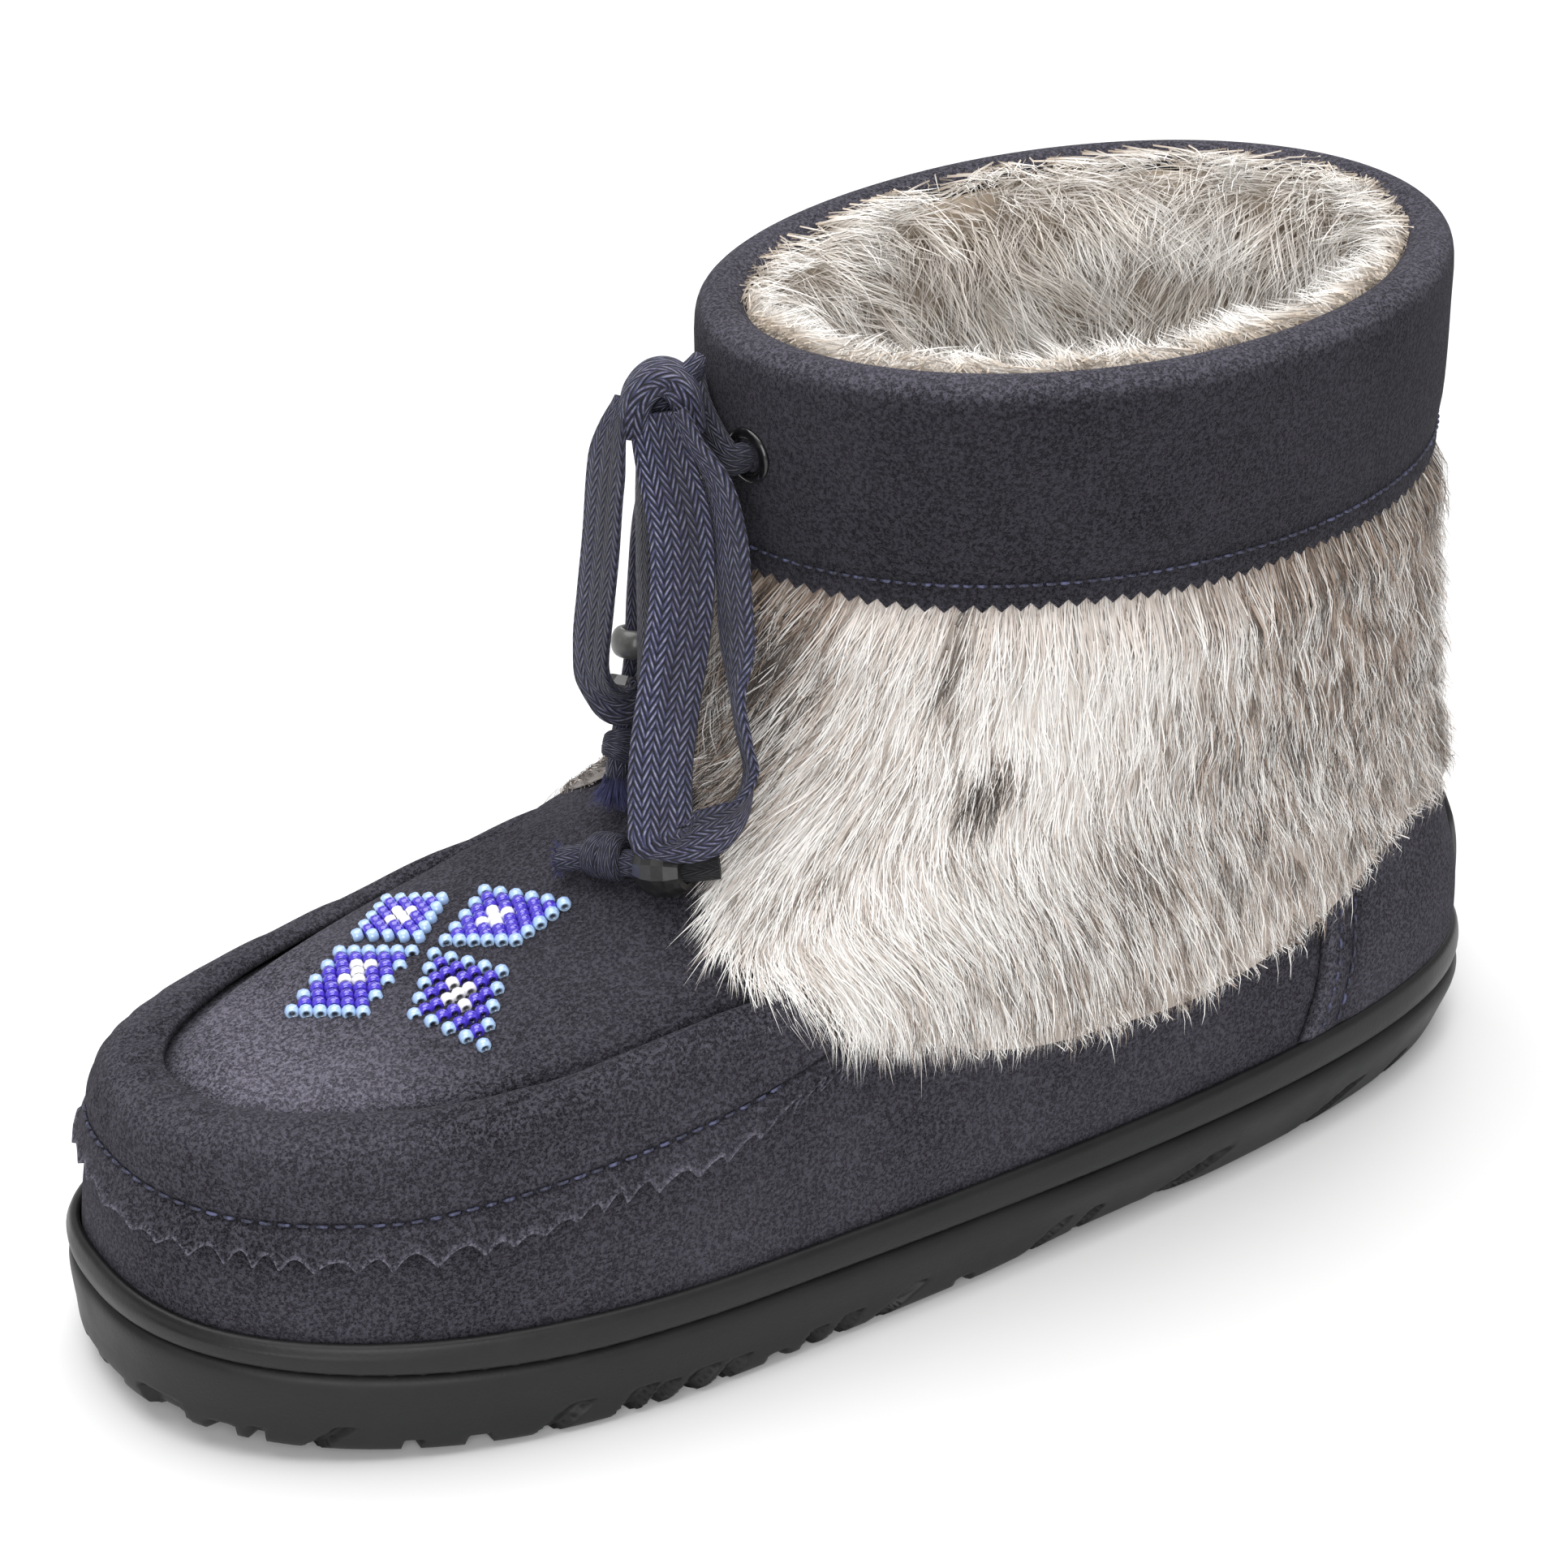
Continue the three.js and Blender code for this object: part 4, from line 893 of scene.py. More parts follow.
def glossy_finish(name, colour, rough, metal, coat):
    """Polished dark glass or lacquered metal with faint scuffs."""
    def fill(tree):
        scuff = noise(tree, 700.0, 4.0, 0.65)
        share = ramp(tree, scuff, 0.5, 0.75)
        return {"Base Color": mixed(tree, share, colour, toned(colour, 1.6, 0.01)),
                "Roughness": ramp(tree, scuff, 0.35, 0.7, rough, rough + 0.15)}
    return finish(name, fill, {"Metallic": metal, "Coat Weight": coat, "Coat Roughness": 0.05})


def thread_finish():
    """Twisted sewing thread: fine plies by noise, soft gloss."""
    colour = colours()["thread"]

    def fill(tree):
        ply, fleck = noise(tree, 2400.0, 2.0, 0.6), noise(tree, 700.0, 1.0, 0.5)
        # The grooves between the plies are painted dark as painted shade
        strand = mixed(tree, ramp(tree, ply, 0.35, 0.65), toned(colour, 0.12), colour)
        pale = mixed(tree, ramp(tree, fleck, 0.52, 0.62), strand, toned(colour, 1.7))
        return {"Base Color": pale, "Normal": bump(tree, ply, 0.5, 0.0002)}
    return finish("Thread", fill, {"Roughness": 0.6})


def felt_finish():
    """Felted fibre: cloudy tone and a fuzzy bump."""
    light, deep = colours()["lining"], colours()["lining_shade"]

    # The felt's two tones are the lining's colour and its painted-shade colour, mixed by a cloud
    def fill(tree):
        cloud, fuzz = noise(tree, 120.0, 4.0, 0.65), noise(tree, 1400.0, 3.0, 0.7)
        tone = sums(tree, "ADD", sums(tree, "MULTIPLY", cloud, 0.6),
                    sums(tree, "MULTIPLY", fuzz, 0.4))
        return {"Base Color": mixed(tree, ramp(tree, tone, 0.35, 0.65), deep, light),
                "Normal": bump(tree, fuzz, 0.7, 0.0006)}
    return finish("Insole felt", fill, {"Roughness": 1.0, "Specular IOR Level": 0.1})


def floor_finish():
    """Matt studio floor with a faint cloud."""
    pale = colours()["floor"]

    def fill(tree):
        cloud = ramp(tree, noise(tree, 3.0), 0.3, 0.7)
        return {"Base Color": mixed(tree, cloud, pale, toned(pale, 0.985))}
    return finish("Studio floor", fill, {"Roughness": 0.9, "Specular IOR Level": 0.1})


def sizes():
    """The size values in millimetres."""
    group = bpy.context.scene.boot_sizes
    return {key: getattr(group, key) * 1000.0 for key in BootSizes.__annotations__}


def colours():
    """The colour values as plain tuples."""
    group = bpy.context.scene.boot_colours
    return {key: tuple(getattr(group, key)) for key in BootColours.__annotations__}


def stand(name, data, spot, target):
    """A camera or light in the scene, at a spot and turned to a target."""
    made = bpy.data.objects.new(name, data)
    made.location = spot
    made.rotation_euler = (Vector(target) - Vector(spot)).to_track_quat("-Z", "Y").to_euler()
    bpy.context.scene.collection.objects.link(made)
    return made


def shades(*keys):
    """Colour values as arrays."""
    return [np.array(colours()[key]) for key in keys]


class BOOT_OT_stage(bpy.types.Operator):
    """Camera at the boot's outer front, pale floor and soft studio light."""

    bl_idname = "boot.stage"
    bl_label = "Stage"

    def execute(self, context):
        scene = context.scene
        view = bpy.data.cameras.new("camera")
        view.lens, view.sensor_width, view.clip_start = 96.13, 36.0, 0.02
        scene.camera = stand("camera", view, (-0.34207, -0.53766, 0.45021),
                             (-0.00569, 0.0015, 0.08227))

        half = 2.5
        mesh = bpy.data.meshes.new("floor")
        mesh.from_pydata([(-half, -half, 0), (half, -half, 0), (half, half, 0), (-half, half, 0)],
                         [], [(0, 1, 2, 3)])
        mesh.materials.append(floor_finish())
        floor = bpy.data.objects.new("floor", mesh)
        scene.collection.objects.link(floor)

        world = bpy.data.worlds.new("studio")
        world.use_nodes = True
        sky = world.node_tree.nodes["Background"].inputs
        sky[0].default_value = (1.0, 1.0, 1.0, 1.0)
        sky[1].default_value = 0.5
        scene.world = world
        lights = (("overhead", (-0.1, 0.1, 1.1), (0.0, 0.0, 0.05), 1.3, 16.0),
                  ("front", (-0.6, -1.0, 0.62), (0.0, 0.0, 0.09), 0.9, 9.5),
                  ("back", (0.9, 0.6, 0.8), (0.0, 0.0, 0.1), 0.8, 4.0))
        for name, spot, target, size, power in lights:
            light = bpy.data.lights.new(name, "AREA")
            light.shape, light.size, light.energy = "DISK", size, power
            stand(name, light, spot, target)
        scene.view_settings.view_transform = "Standard"
        return {"FINISHED"}


def path_length(route):
    """Length of the smooth curve through a route, in metres."""
    return float(run_along(spline(route, 400))[-1]) * MM


def about_knot(spots):
    """Places given from the bow's knot as right, front and up."""
    spots = np.array(spots)
    return KNOT + spots[:, :1] * RIGHT + spots[:, 1:2] * FRONT + spots[:, 2:] * UP


class BOOT_OT_lace(bpy.types.Operator):
    """Bow loops, ends with their knots and frayed tips, knot and bars of the lace."""

    bl_idname = "boot.lace"
    bl_label = "Lace"

    def execute(self, context):
        size, braid = sizes(), lace_finish()
        wide, thick = size["lace_width"], size["lace_thickness"]
        self.loops(braid, wide, thick)
        fringe = tinted_finish("Lace fringe", rough=0.8, specular=0.2)
        self.ends(braid, fringe, colours()["lace"])
        self.knot(braid, wide, thick)
        return {"FINISHED"}

    def loops(self, braid, wide, thick, steps=240):
        """Two bow loops that leave the knot and come back into it."""
        inner_ways = [0.53 * RIGHT + 0.85 * FRONT] * 6 + [
            0.4 * RIGHT + 0.6 * FRONT + 0.4 * UP, 0.5 * FRONT + 0.8 * UP, 0.4 * FRONT + UP,
            0.2 * RIGHT + FRONT + 0.4 * UP] + [0.25 * RIGHT + FRONT] * 5
        outer_ways = [RIGHT + 0.3 * FRONT] * 8 + [
            0.9 * RIGHT + 0.2 * FRONT + 0.35 * UP, 0.5 * RIGHT + 0.9 * UP, 0.25 * FRONT + UP,
            0.7 * FRONT + UP, 0.1 * RIGHT + FRONT + 0.5 * UP] + [0.15 * RIGHT + FRONT] * 2 + [
            0.55 * RIGHT + FRONT] * 6
        end = np.minimum(np.arange(steps), np.arange(steps)[::-1])
        for name, route, ways, shade, neck in (("inner", LOOP_INNER, inner_ways, 0.72, 0.45),
                                               ("outer", LOOP_OUTER, outer_ways, 1.05, 0.85)):
            if len(ways) != len(route):
                raise ValueError(f"loop {name}: {len(ways)} directions for {len(route)} points")
            width = wide * (neck + (1 - neck) * smooth(end / 26.0))
            skin = ribbon(route, ways, width, thick, steps, sides=24, cup=0.7)
            u, run = skin[3][:, 0], skin[3][:, 1]
            # Painted light on the loops: the inner loop painted darker as it lies in shade, bands
            # of painted highlight and shade across each loop's curled width, and a painted shade
            # line along its fold
            fold_shade = bell(u - 0.56 - 0.12 * np.sin(0.9 * run), 0.06)
            sheen = 1.08 + 0.3 * np.sin(5.2 * u + 1.1 * np.sin(0.8 * run) + 0.4)
            loop = piece(f"bow_loop_{name}", tinted(skin, shade * sheen * (1 - 0.45 * fold_shade)),
                         braid, (f"lace_loop_{name}",))
            path_length(route)
            [tuple(p * MM) for p in spline(route, 60)]

    def ends(self, braid, fringe, colour):
        """Two narrow ends, each with a tied knot and a frayed tip beyond its beads."""
        rng = np.random.default_rng(5)
        # Route, place and radius of the tied knot, count and length of the loose threads
        marks = {"inner": (END_INNER, np.array([-31.2, 14.1, 91.4]), 2.1, 420, 6.5),
                 "outer": (END_OUTER, np.array([-43.6, -3.0, 81.9]), 2.6, 150, 1.6)}
        for name, (route, tie, radius, threads, reach) in marks.items():
            steps = 120
            width = np.full(steps, TAIL_WIDTH)
            width[-5:] = [4.5, 4.3, 4.0, 3.5, 2.6]
            skin = ribbon(route, [FRONT] * len(route), width, 0.87 * width, steps, sides=16)
            # Painted shade: the first 8 mm of each end, by the knot and the loops, painted nearly
            # black, rising over 6 mm to a little darker than the lace
            tail_shade = 0.08 + 0.77 * smooth((skin[3][:, 1] * BRAID_LENGTH - 8.0) / 6.0)
            cord = piece(f"lace_tail_{name}", tinted(skin, tail_shade), braid,
                         (f"lace_end_{name}",))
            line = spline(route, 200)
            nearest = int(np.argmin(np.linalg.norm(line - tie, axis=1)))
            way = unit(line[min(nearest + 3, 199)] - line[nearest - 3])
            side = unit(np.cross(way, UP))
            a = np.linspace(0, 2 * math.pi, 26)[:, None]
            ring = np.cos(a) * side + np.sin(a) * np.cross(side, way)
            wraps = joined([ribbon(tie + way * shift + radius * (ring + tilt * np.cos(a) * way),
                                   np.tile(way, (26, 1)), 1.6 * radius, 1.2 * radius, 60, 12)
                            for shift, tilt in ((-1.1, 0.3), (1.1, -0.35))])
            # The tied knots are painted a quarter darker as painted shade
            knot = piece(f"tail_knot_{name}", tinted(wraps, np.full(len(wraps[0]), 0.75)), braid)
            way = unit(route[-1] - route[-2])
            frayed = self.fray(rng, route[-1] - 1.5 * way, way, colour, threads, reach)
            tips = piece(f"tail_fray_{name}", frayed, fringe)
            path_length(route)
            [tuple(p * MM) for p in spline(route, 40)]

    def fray(self, rng, tip, way, colour, n, longest):
        """Loose threads fanning out from the cut end of the lace."""
        side = unit(np.cross(way, UP))
        a, r = rng.uniform(0, 2 * math.pi, n), np.sqrt(rng.uniform(0, 1, n))
        ring = np.cos(a)[:, None] * side + np.sin(a)[:, None] * np.cross(side, way)
        t = np.linspace(0, 1, 4)[None, :, None]
        reach = rng.uniform(0.6 * longest, longest, n)[:, None, None]
        paths = tip + ring[:, None] * (1.9 * r[:, None, None] * (1 + 1.1 * t * t)) + way * reach * t
        paths = paths + rng.normal(0, 0.25, (n, 1, 3)) * t
        shade = rng.uniform(0.5, 1.5, n)[:, None, None]
        tint = np.clip(np.array(colour) * shade * (0.7 + 0.8 * t), 0, 1)
        return hair(paths, np.broadcast_to(ring[:, None], paths.shape), np.full(n, 0.28),
                    np.broadcast_to(tint, paths.shape), rng.uniform(-1.5, 1.5, n))

    def knot(self, braid, wide, thick):
        """Bow knot: a puffed arch of lace round a dimple in front, and bars in from the eyelets."""
        arch = about_knot([[-4.6, 1.6, -4.6], [-4.4, 2.4, -1.6], [-3.5, 2.6, 1.6], [-1.2, 1.8, 3.6],
                           [1.4, 1.4, 3.5], [3.4, 1.8, 1.5], [4.2, 1.6, -1.6], [4.6, 0.8, -4.4]])
        behind = about_knot([[5.8, -3.4, 3.4], [4.4, -0.6, 3.0], [1.6, 0.6, 0.6],
                             [-1.4, 0.4, -1.6], [-4.4, -0.4, -3.4]])
        upright = np.tile(UP + 0.3 * RIGHT, (5, 1))
        wraps = [ribbon(arch, np.tile(FRONT, (8, 1)), 0.78 * wide, 2.6 * thick, 110, 24),
                 ribbon(behind, upright, 0.5 * wide, 1.5 * thick, 60)]
        piece("bow_knot", joined(wraps), braid, ("lace_knot",))
        bars = []
        for _, d in EYELETS:
            gap = KNOT_TURN - d
            spots = [(d, CUFF_OUT - 0.6, EYELET_HEIGHT), (d, CUFF_OUT + 2.2, EYELET_HEIGHT),
                     (d + gap * 0.12, CUFF_OUT + 4.2, EYELET_HEIGHT + 0.4),
                     (d + gap * 0.62, CUFF_OUT + 3.6, EYELET_HEIGHT + 4),
                     (KNOT_TURN, CUFF_OUT + 2.6, EYELET_HEIGHT + 7)]
            width = [TAIL_WIDTH] * 6 + list(np.linspace(5.4, 8.2, 54))
            bars.append(ribbon([cuff_point(*spot) for spot in spots], upright, width, 3.0, 60))
        bars = joined(bars)
        # The bars are painted darker as painted shade
        piece("lace_bar", tinted(bars, np.full(len(bars[0]), 0.55)), braid, ("lace_bars",))


class BOOT_OT_lace_beads(bpy.types.Operator):
    """Dark cut beads and a grey one on the lace ends."""

    bl_idname = "boot.lace_beads"
    bl_label = "Lace beads"

    def execute(self, context):
        for name, (centre, way, radius, length) in LACE_BEADS.items():
            bore, half, chamfer = 2.6, 0.5 * length, 1.5
            if name == "grey":
                a = np.linspace(-1.35, 1.35, 13)
                curve = np.stack([radius - chamfer + chamfer * np.cos(a),
                                  half * np.sin(a) / math.sin(1.35)], -1)
                bundle = lathe(np.concatenate([curve, [[bore, half], [bore, -half]]]), sides=28)
                gloss = glossy_finish("Grey bead", linear(86, 86, 84), rough=0.35, metal=0.0,
                                      coat=0.3)
            else:
                bundle = lathe([[bore, -half], [radius - chamfer, -half],
                                [radius - 0.35, -0.5 * half], [radius, 0.0],
                                [radius - 0.35, 0.5 * half], [radius - chamfer, half],
                                [bore, half]], sides=12)
                gloss = glossy_finish("Dark bead", linear(26, 26, 26), rough=0.28, metal=0.0,
                                      coat=0.3)
            piece(f"bead_{name}", turned(bundle, centre, way), gloss, (f"lace_bead_{name}",),
                  flat=name != "grey")
        return {"FINISHED"}


class BOOT_OT_outsole(bpy.types.Operator):
    """Moulded outsole: plate, bulged side with leaf recesses, and cut tread."""

    bl_idname = "boot.outsole"
    bl_label = "Outsole"

    def execute(self, context):
        d = even_angles(780, 1)
        edge = outline(d, 0.0)
        x = edge[:, 0]
        top, foot, lean = sole_top(x), sole_foot(x), tuck(x)
        run = run_along(edge)
        run = np.abs(run - np.interp(0.0, d, run))
        zero = np.zeros_like(x)
        keys = np.array([[zero + 1.4, top], [zero + 0.3, top - 1.0], [zero, top - 3.2],
                         [0.45 * lean, 0.45 * top + 0.55 * foot], [lean, foot + 1.6],
                         [lean + 2.0, foot]])
        inset, height = along(keys, np.concatenate([
            np.linspace(0, 3, 12)[:-1], np.linspace(3, 4, 13)[:-1], np.linspace(4, 5, 6)
        ])).transpose(1, 0, 2)
        rise = height - foot
        for spot, half, tall, slant, deep in SIDE_CUTS:
            u = (run - spot - slant * rise) / half
            inset = inset + deep * smooth((1.15 - np.abs(u)) / 0.3) * smooth(
                (tall - rise) / 0.9 + 0.5)
        xy = outline(np.broadcast_to(d, inset.shape), inset)
        side = np.concatenate([xy, height[..., None]], -1)
        s = np.linspace(0, 1, 27)[1:, None, None]
        core = midline(x)
        under = side[-1:, :, :2] * (1 - s) + core[None] * s
        cut = np.zeros(under.shape[:2])
        for cx, cy, length, width, degrees in TREAD_CUTS:
            c, q = math.cos(math.radians(degrees)), math.sin(math.radians(degrees))
            u = (under[..., 0] - cx) * c + (under[..., 1] - cy) * q
            v = -(under[..., 0] - cx) * q + (under[..., 1] - cy) * c
            cut = np.maximum(cut, smooth((0.5 * length + 0.4 - np.abs(u)) / 0.8)
                             * smooth((0.5 * width + 0.4 - np.abs(v)) / 0.8))
        low = sole_foot(under[..., 0]) + TREAD_DEPTH * cut
        s = np.linspace(1, 0, 6)[:-1, None, None]
        plate = side[:1, :, :2] * (1 - s) + core * s
        loops = np.concatenate([np.concatenate([plate, sole_top(plate[..., :1])], -1), side,
                                np.concatenate([under, low[..., None]], -1)])
        bundle = loop_shell(loops)
        piece("sole_unit", bundle, rubber_finish("Sole rubber", 0.5), ("outsole",))
        return {"FINISHED"}


class BOOT_OT_rand(bpy.types.Operator):
    """Rubber band above the sole with its tongue up the heel, and the sunk sole stitches."""

    bl_idname = "boot.rand"
    bl_label = "Rand"

    def execute(self, context):
        d = even_angles(360, 1)
        one = np.ones_like(d)
        foot, top = sole_top(outline(d, 0.0)[:, 0]) + GAP, face(one, d)[:, 2] + 1.1
        keys = [(2.2, foot), (0.75, foot + 0.35), (0.2, foot + 1.3), (0.0, foot + 0.55 * BAND),
                (0.3, top - 1.7), (0.8, top - 0.55), (1.7, top - 0.05), (2.45, top - 0.5)]
        edge = np.stack([np.concatenate([outline(d, k), z[:, None]], -1) for k, z in keys])
        edge = along(edge, np.linspace(0, 7, 25))
        inside = off(0.06 * one, d, GAP)
        inside[:, 2] = np.maximum(inside[:, 2], foot)
        profiles = np.concatenate([edge, off(one, d, GAP)[None], inside[None]])
        band = ring_shell(profiles.transpose(1, 0, 2))
        half, low = 11.0, 0.75
        aside, f = np.linspace(-half, half, 45), np.linspace(0, 1, 30)
        high = 3.1 - 0.9 * np.abs(aside / half) ** 3
        rings = blend(low, high[:, None], f[None])
        edge_in = smooth((half - np.abs(aside)) / 1.5)[:, None] * smooth((1 - f) / 0.08)[None]
        outer = 1.9 + (0.85 + 0.5 * np.sin(2.6 * f)) * edge_in
        turn = np.broadcast_to(180 + aside[:, None], rings.shape)
        tongue = patch_shell(strip(rings, turn, OVERLAY + 2 * GAP, outer))
        piece("rand_band", joined([band, tongue]), rubber_finish("Rand rubber", 0.42),
              ("rand",))
        turn = even_angles(1200, 1)
        height = sole_top(outline(turn, 0.0)[:, 0]) + 0.1
        line = np.concatenate([outline(turn, 1.8), height[:, None]], -1)
        stitches = stitch_row(line, line * [0.25, 1.0, 0.0], margins=(1.0, 6.0), pitch=5.2,
                              length=3.9, radius=0.36)
        wax = glossy_finish("Waxed thread", linear(20, 20, 21), rough=0.35, metal=0.0, coat=0.2)
        piece("sole_stitches", stitches, wax)
        return {"FINISHED"}


class BOOT_OT_insole(bpy.types.Operator):
    """Felt footbed inside the upper, crowned a little."""

    bl_idname = "boot.insole"
    bl_label = "Insole"

    def execute(self, context):
        d = even_angles(200, 1)
        p = off(np.full_like(d, 0.35), d, -WALL - GAP - 0.4)[:, :2]
        ramp_in, thick = np.linspace(0, 0.98, 12), 5.0
        s = np.concatenate([ramp_in, [0.995, 1.0, 1.0, 0.995], ramp_in[::-1]])[:, None, None]
        lift = np.concatenate([np.full(12, GAP), [GAP, GAP + 0.8, 4.2, thick],
                               thick - 0.8 * smooth(np.linspace(0, 1, 12))])
        xy = midline(p[:, 0])[None] * (1 - s) + p[None] * s
        loops = np.concatenate([xy, sole_top(xy[..., :1]) + lift[:, None, None]], -1)
        bundle = loop_shell(loops)
        piece("footbed", bundle, felt_finish(), ("insole",))
        return {"FINISHED"}


class BOOT_OT_upper(bpy.types.Operator):
    """Suede wall from the feather line to the collar, with its soft creases."""

    bl_idname = "boot.upper"
    bl_label = "Upper"

    def execute(self, context):
        rings = np.concatenate([np.linspace(0, 7.5, 76), np.linspace(7.7, 10, 10)])[None]
        rings, d = np.broadcast_arrays(rings, even_angles(220, 2)[:, None])
        a = around(d)
        edge, pinked = at(PLUG_EDGE, a), at(PINKED_EDGE, a)
        front = smooth((90 - a) / 20)
        crown = 1.1 * smooth((rings - edge) / 0.5) * smooth((6.6 - rings) / 0.8)
        trough = 0.9 * bell(rings - edge - 0.04, 0.09) * front
        outer = crown * smooth((80 - a) / 30) - trough - crease(rings, d)
        plug = smooth((rings - edge) / 0.1) * front
        # Painted light on the vamp: a painted highlight on the toe end of the plug, the rest of the
        # plug a little darker, painted shade in the trough at the plug's edge and a painted shadow
        # just below the apron's pinked edge
        painted_light_and_edge = 1 + 1.65 * plug * bell(face(rings, d)[..., 0] + 112, 26) - 0.14 * plug
        painted_light_and_edge = painted_light_and_edge * (1 - 0.45 * bell(rings - edge - 0.03, 0.06) * front)
        painted_light_and_edge = painted_light_and_edge * (1 - 0.4 * bell(rings - pinked - 0.06, 0.12) * smooth((92 - a) / 8))
        bundle = tinted(ring_shell(strip(rings, d, -WALL, outer)),
                        np.concatenate([painted_light_and_edge, np.ones_like(painted_light_and_edge)], 1))
        piece("vamp_and_shaft", bundle, suede_finish(), ("upper",))
        return {"FINISHED"}


def roll_height(f, degrees):
    """Rolled rim across the apron: flat from the pinked edge, swelling to a roll by the plug."""
    roll = np.sqrt(np.clip(1 - ((f - 0.72) / 0.285) ** 2 * (f > 0.72), 0, 1))
    return GAP + OVERLAY + 3.4 * smooth((f - 0.22) / 0.5) * roll * smooth(
        (92 - around(degrees)) / 34)


def pinked_ring(degrees, run):
    """Ring number of the apron's pinked edge: pointed teeth and round valleys, uneven in run."""
    phase = run / 5.8 + 0.3 * np.sin(run / 9.1) + 0.12 * np.sin(run / 3.1)
    deep = np.clip(0.85 + 0.25 * np.sin(run / 5.3 + 1.0) + 0.15 * np.sin(run / 13.0), 0.5, 1.2)
    return at(PINKED_EDGE, around(degrees)) - 0.05 + 0.2 * np.abs(np.sin(math.pi * phase)) * deep


class BOOT_OT_apron(bpy.types.Operator):
    """Moccasin apron with its pinked edge, rolled rim, puckers and stitching."""

    bl_idname = "boot.apron"
    bl_label = "Apron"

    def execute(self, context):
        d = even_angles(560, 2.2, -APRON_END, APRON_END, closed=False)
        pinked = at(PINKED_EDGE, around(d))
        run = run_along(face(pinked, d))
        low, high = pinked_ring(d, run)[:, None], at(PLUG_EDGE, around(d))[:, None]
        f = np.concatenate([[0.0, 0.008, 0.025, 0.05, 0.08, 0.11], np.linspace(0.14, 0.36, 12),
                            np.linspace(0.4, 1, 17)])[None]
        rings = blend(low, high, f)
        turn = np.broadcast_to(d[:, None], rings.shape)
        wrinkle = 0.35 * np.sin(2 * math.pi * run / 9.0 + 1.3 * np.sin(run / 23.0))[:, None]
        pucker = wrinkle * bell(f - 0.9, 0.12) * smooth((88 - around(turn)) / 20)
        line = pinked + 0.5
        trough = 0.55 * bell(rings - line[:, None], 0.045)
        flare = 1.7 + 0.8 * np.sin(run / 7.7 + 0.6 * np.sin(run / 19.0))[:, None]
        outer = roll_height(f, turn) + pucker - trough + flare * np.exp(-f / 0.09)
        outer = np.maximum(outer - 0.6 * crease(rings, turn), 2.2 * GAP + 0.15)
        inner = np.maximum(2.2 * GAP, outer - 1.1 - 4.0 * np.clip(f - 0.05, 0, 1))
        # Painted light on the apron: the cut edge pale, partly the suede's pale cut fibres and
        # partly a painted highlight; the top of the roll painted lighter; painted shade along the
        # stitch trough; on the inner face the cut edge pale and the underside painted in shade
        painted_light_and_edge = 1 + 2.4 * np.exp(-f / 0.012) + 0.2 * bell(f - 0.75, 0.12)
        painted_light_and_edge = painted_light_and_edge * (1 - 0.6 * bell(rings - line[:, None], 0.04))
        under = np.where(f < 0.01, 2.6, 0.4) * np.ones_like(rings)
        bundle = tinted(patch_shell(strip(rings, turn, inner, outer)),
                        np.concatenate([painted_light_and_edge, under[:, ::-1]], 1))
        piece("apron_roll", bundle, suede_finish(), ("apron",))
        keep = around(d) < 86
        stitches = stitched(line[keep], d[keep], GAP + OVERLAY + 0.1, sizes()["stitch_pitch"], 0.32)
        piece("apron_stitches", stitches, thread_finish())
        return {"FINISHED"}


class BOOT_OT_heel_counter(bpy.types.Operator):
    """Suede counter round the heel with its double row of stitches."""

    bl_idname = "boot.heel_counter"
    bl_label = "Heel counter"

    def execute(self, context):
        rings = np.linspace(1.12, 4.1, 36)[:, None]
        side = np.interp(rings, COUNTER_EDGE[:, 0], COUNTER_EDGE[:, 1])
        f = np.concatenate([np.linspace(0, 0.02, 8), np.linspace(0.025, 0.08, 14),
                            np.linspace(0.1, 0.5, 26)])
        near = np.concatenate([f, f[-2::-1]])
        f = np.concatenate([f, 1 - f[-2::-1]])
        turn = side + (360 - 2 * side) * f[None]
        ring = np.broadcast_to(rings, turn.shape)
        trough = bell(near - 0.045, 0.012)
        outer = 2 * GAP + 0.15 + (OVERLAY - GAP - 0.15) * smooth(near / 0.012) - 0.25 * trough
        outer = np.maximum(outer[None] - 0.4 * crease(ring, turn), 2 * GAP + 0.1)
        profiles = strip(ring, turn, 2 * GAP, outer)
        # Painted light on the counter: a painted shade line at its very edge, a painted highlight
        # just in from it, painted shade in the stitch trough, and its inner face painted in shade
        painted_light_and_edge = 1 - 0.6 * bell(near, 0.004) + 0.4 * bell(near - 0.012, 0.006) - 0.35 * trough
        painted_light_and_edge = np.broadcast_to(np.concatenate([painted_light_and_edge, np.full(len(f), 0.4)]), profiles.shape[:2])
        # The counter's suede is the same suede painted 1.2 times lighter, for the light on the heel
        piece("counter_cover", tinted(patch_shell(profiles), painted_light_and_edge),
              suede_finish("Heel suede", 1.2), ("heel_counter",))
        fine = np.linspace(1.16, 4.0, 200)
        base = np.interp(fine, COUNTER_EDGE[:, 0], COUNTER_EDGE[:, 1])
        rows = [stitched(fine, sign * (base + away), GAP + OVERLAY + 0.05,
                         sizes()["stitch_pitch"], 0.3) for away in (2.4, 4.6) for sign in (1, -1)]
        piece("counter_stitches", joined(rows), thread_finish())
        return {"FINISHED"}


def inner_front(degrees):
    """One on the inner side's front, behind the lace, and nothing elsewhere."""
    return smooth((degrees + 80) / 16) * smooth((-3 - degrees) / 9)


def fur_depth(ring, degrees):
    """Depth of the fur's hide and underfur, thin under the cuff, at the hem and behind the lace."""
    low = at(FUR_EDGE, around(degrees))
    f = np.clip((ring - low) / (FUR_TOP - low), 0, 1)
    hem = 0.3 + 0.42 * smooth((around(degrees) - 40) / 30) + 0.28 * f + 0.42 * f * (1 - f)
    thin = 1 - 0.6 * inner_front(degrees) * smooth((8.2 - ring) / 0.6)
    return GAP + 1.2 + 4.0 * smooth((8.99 - ring) / 0.3) * hem * thin


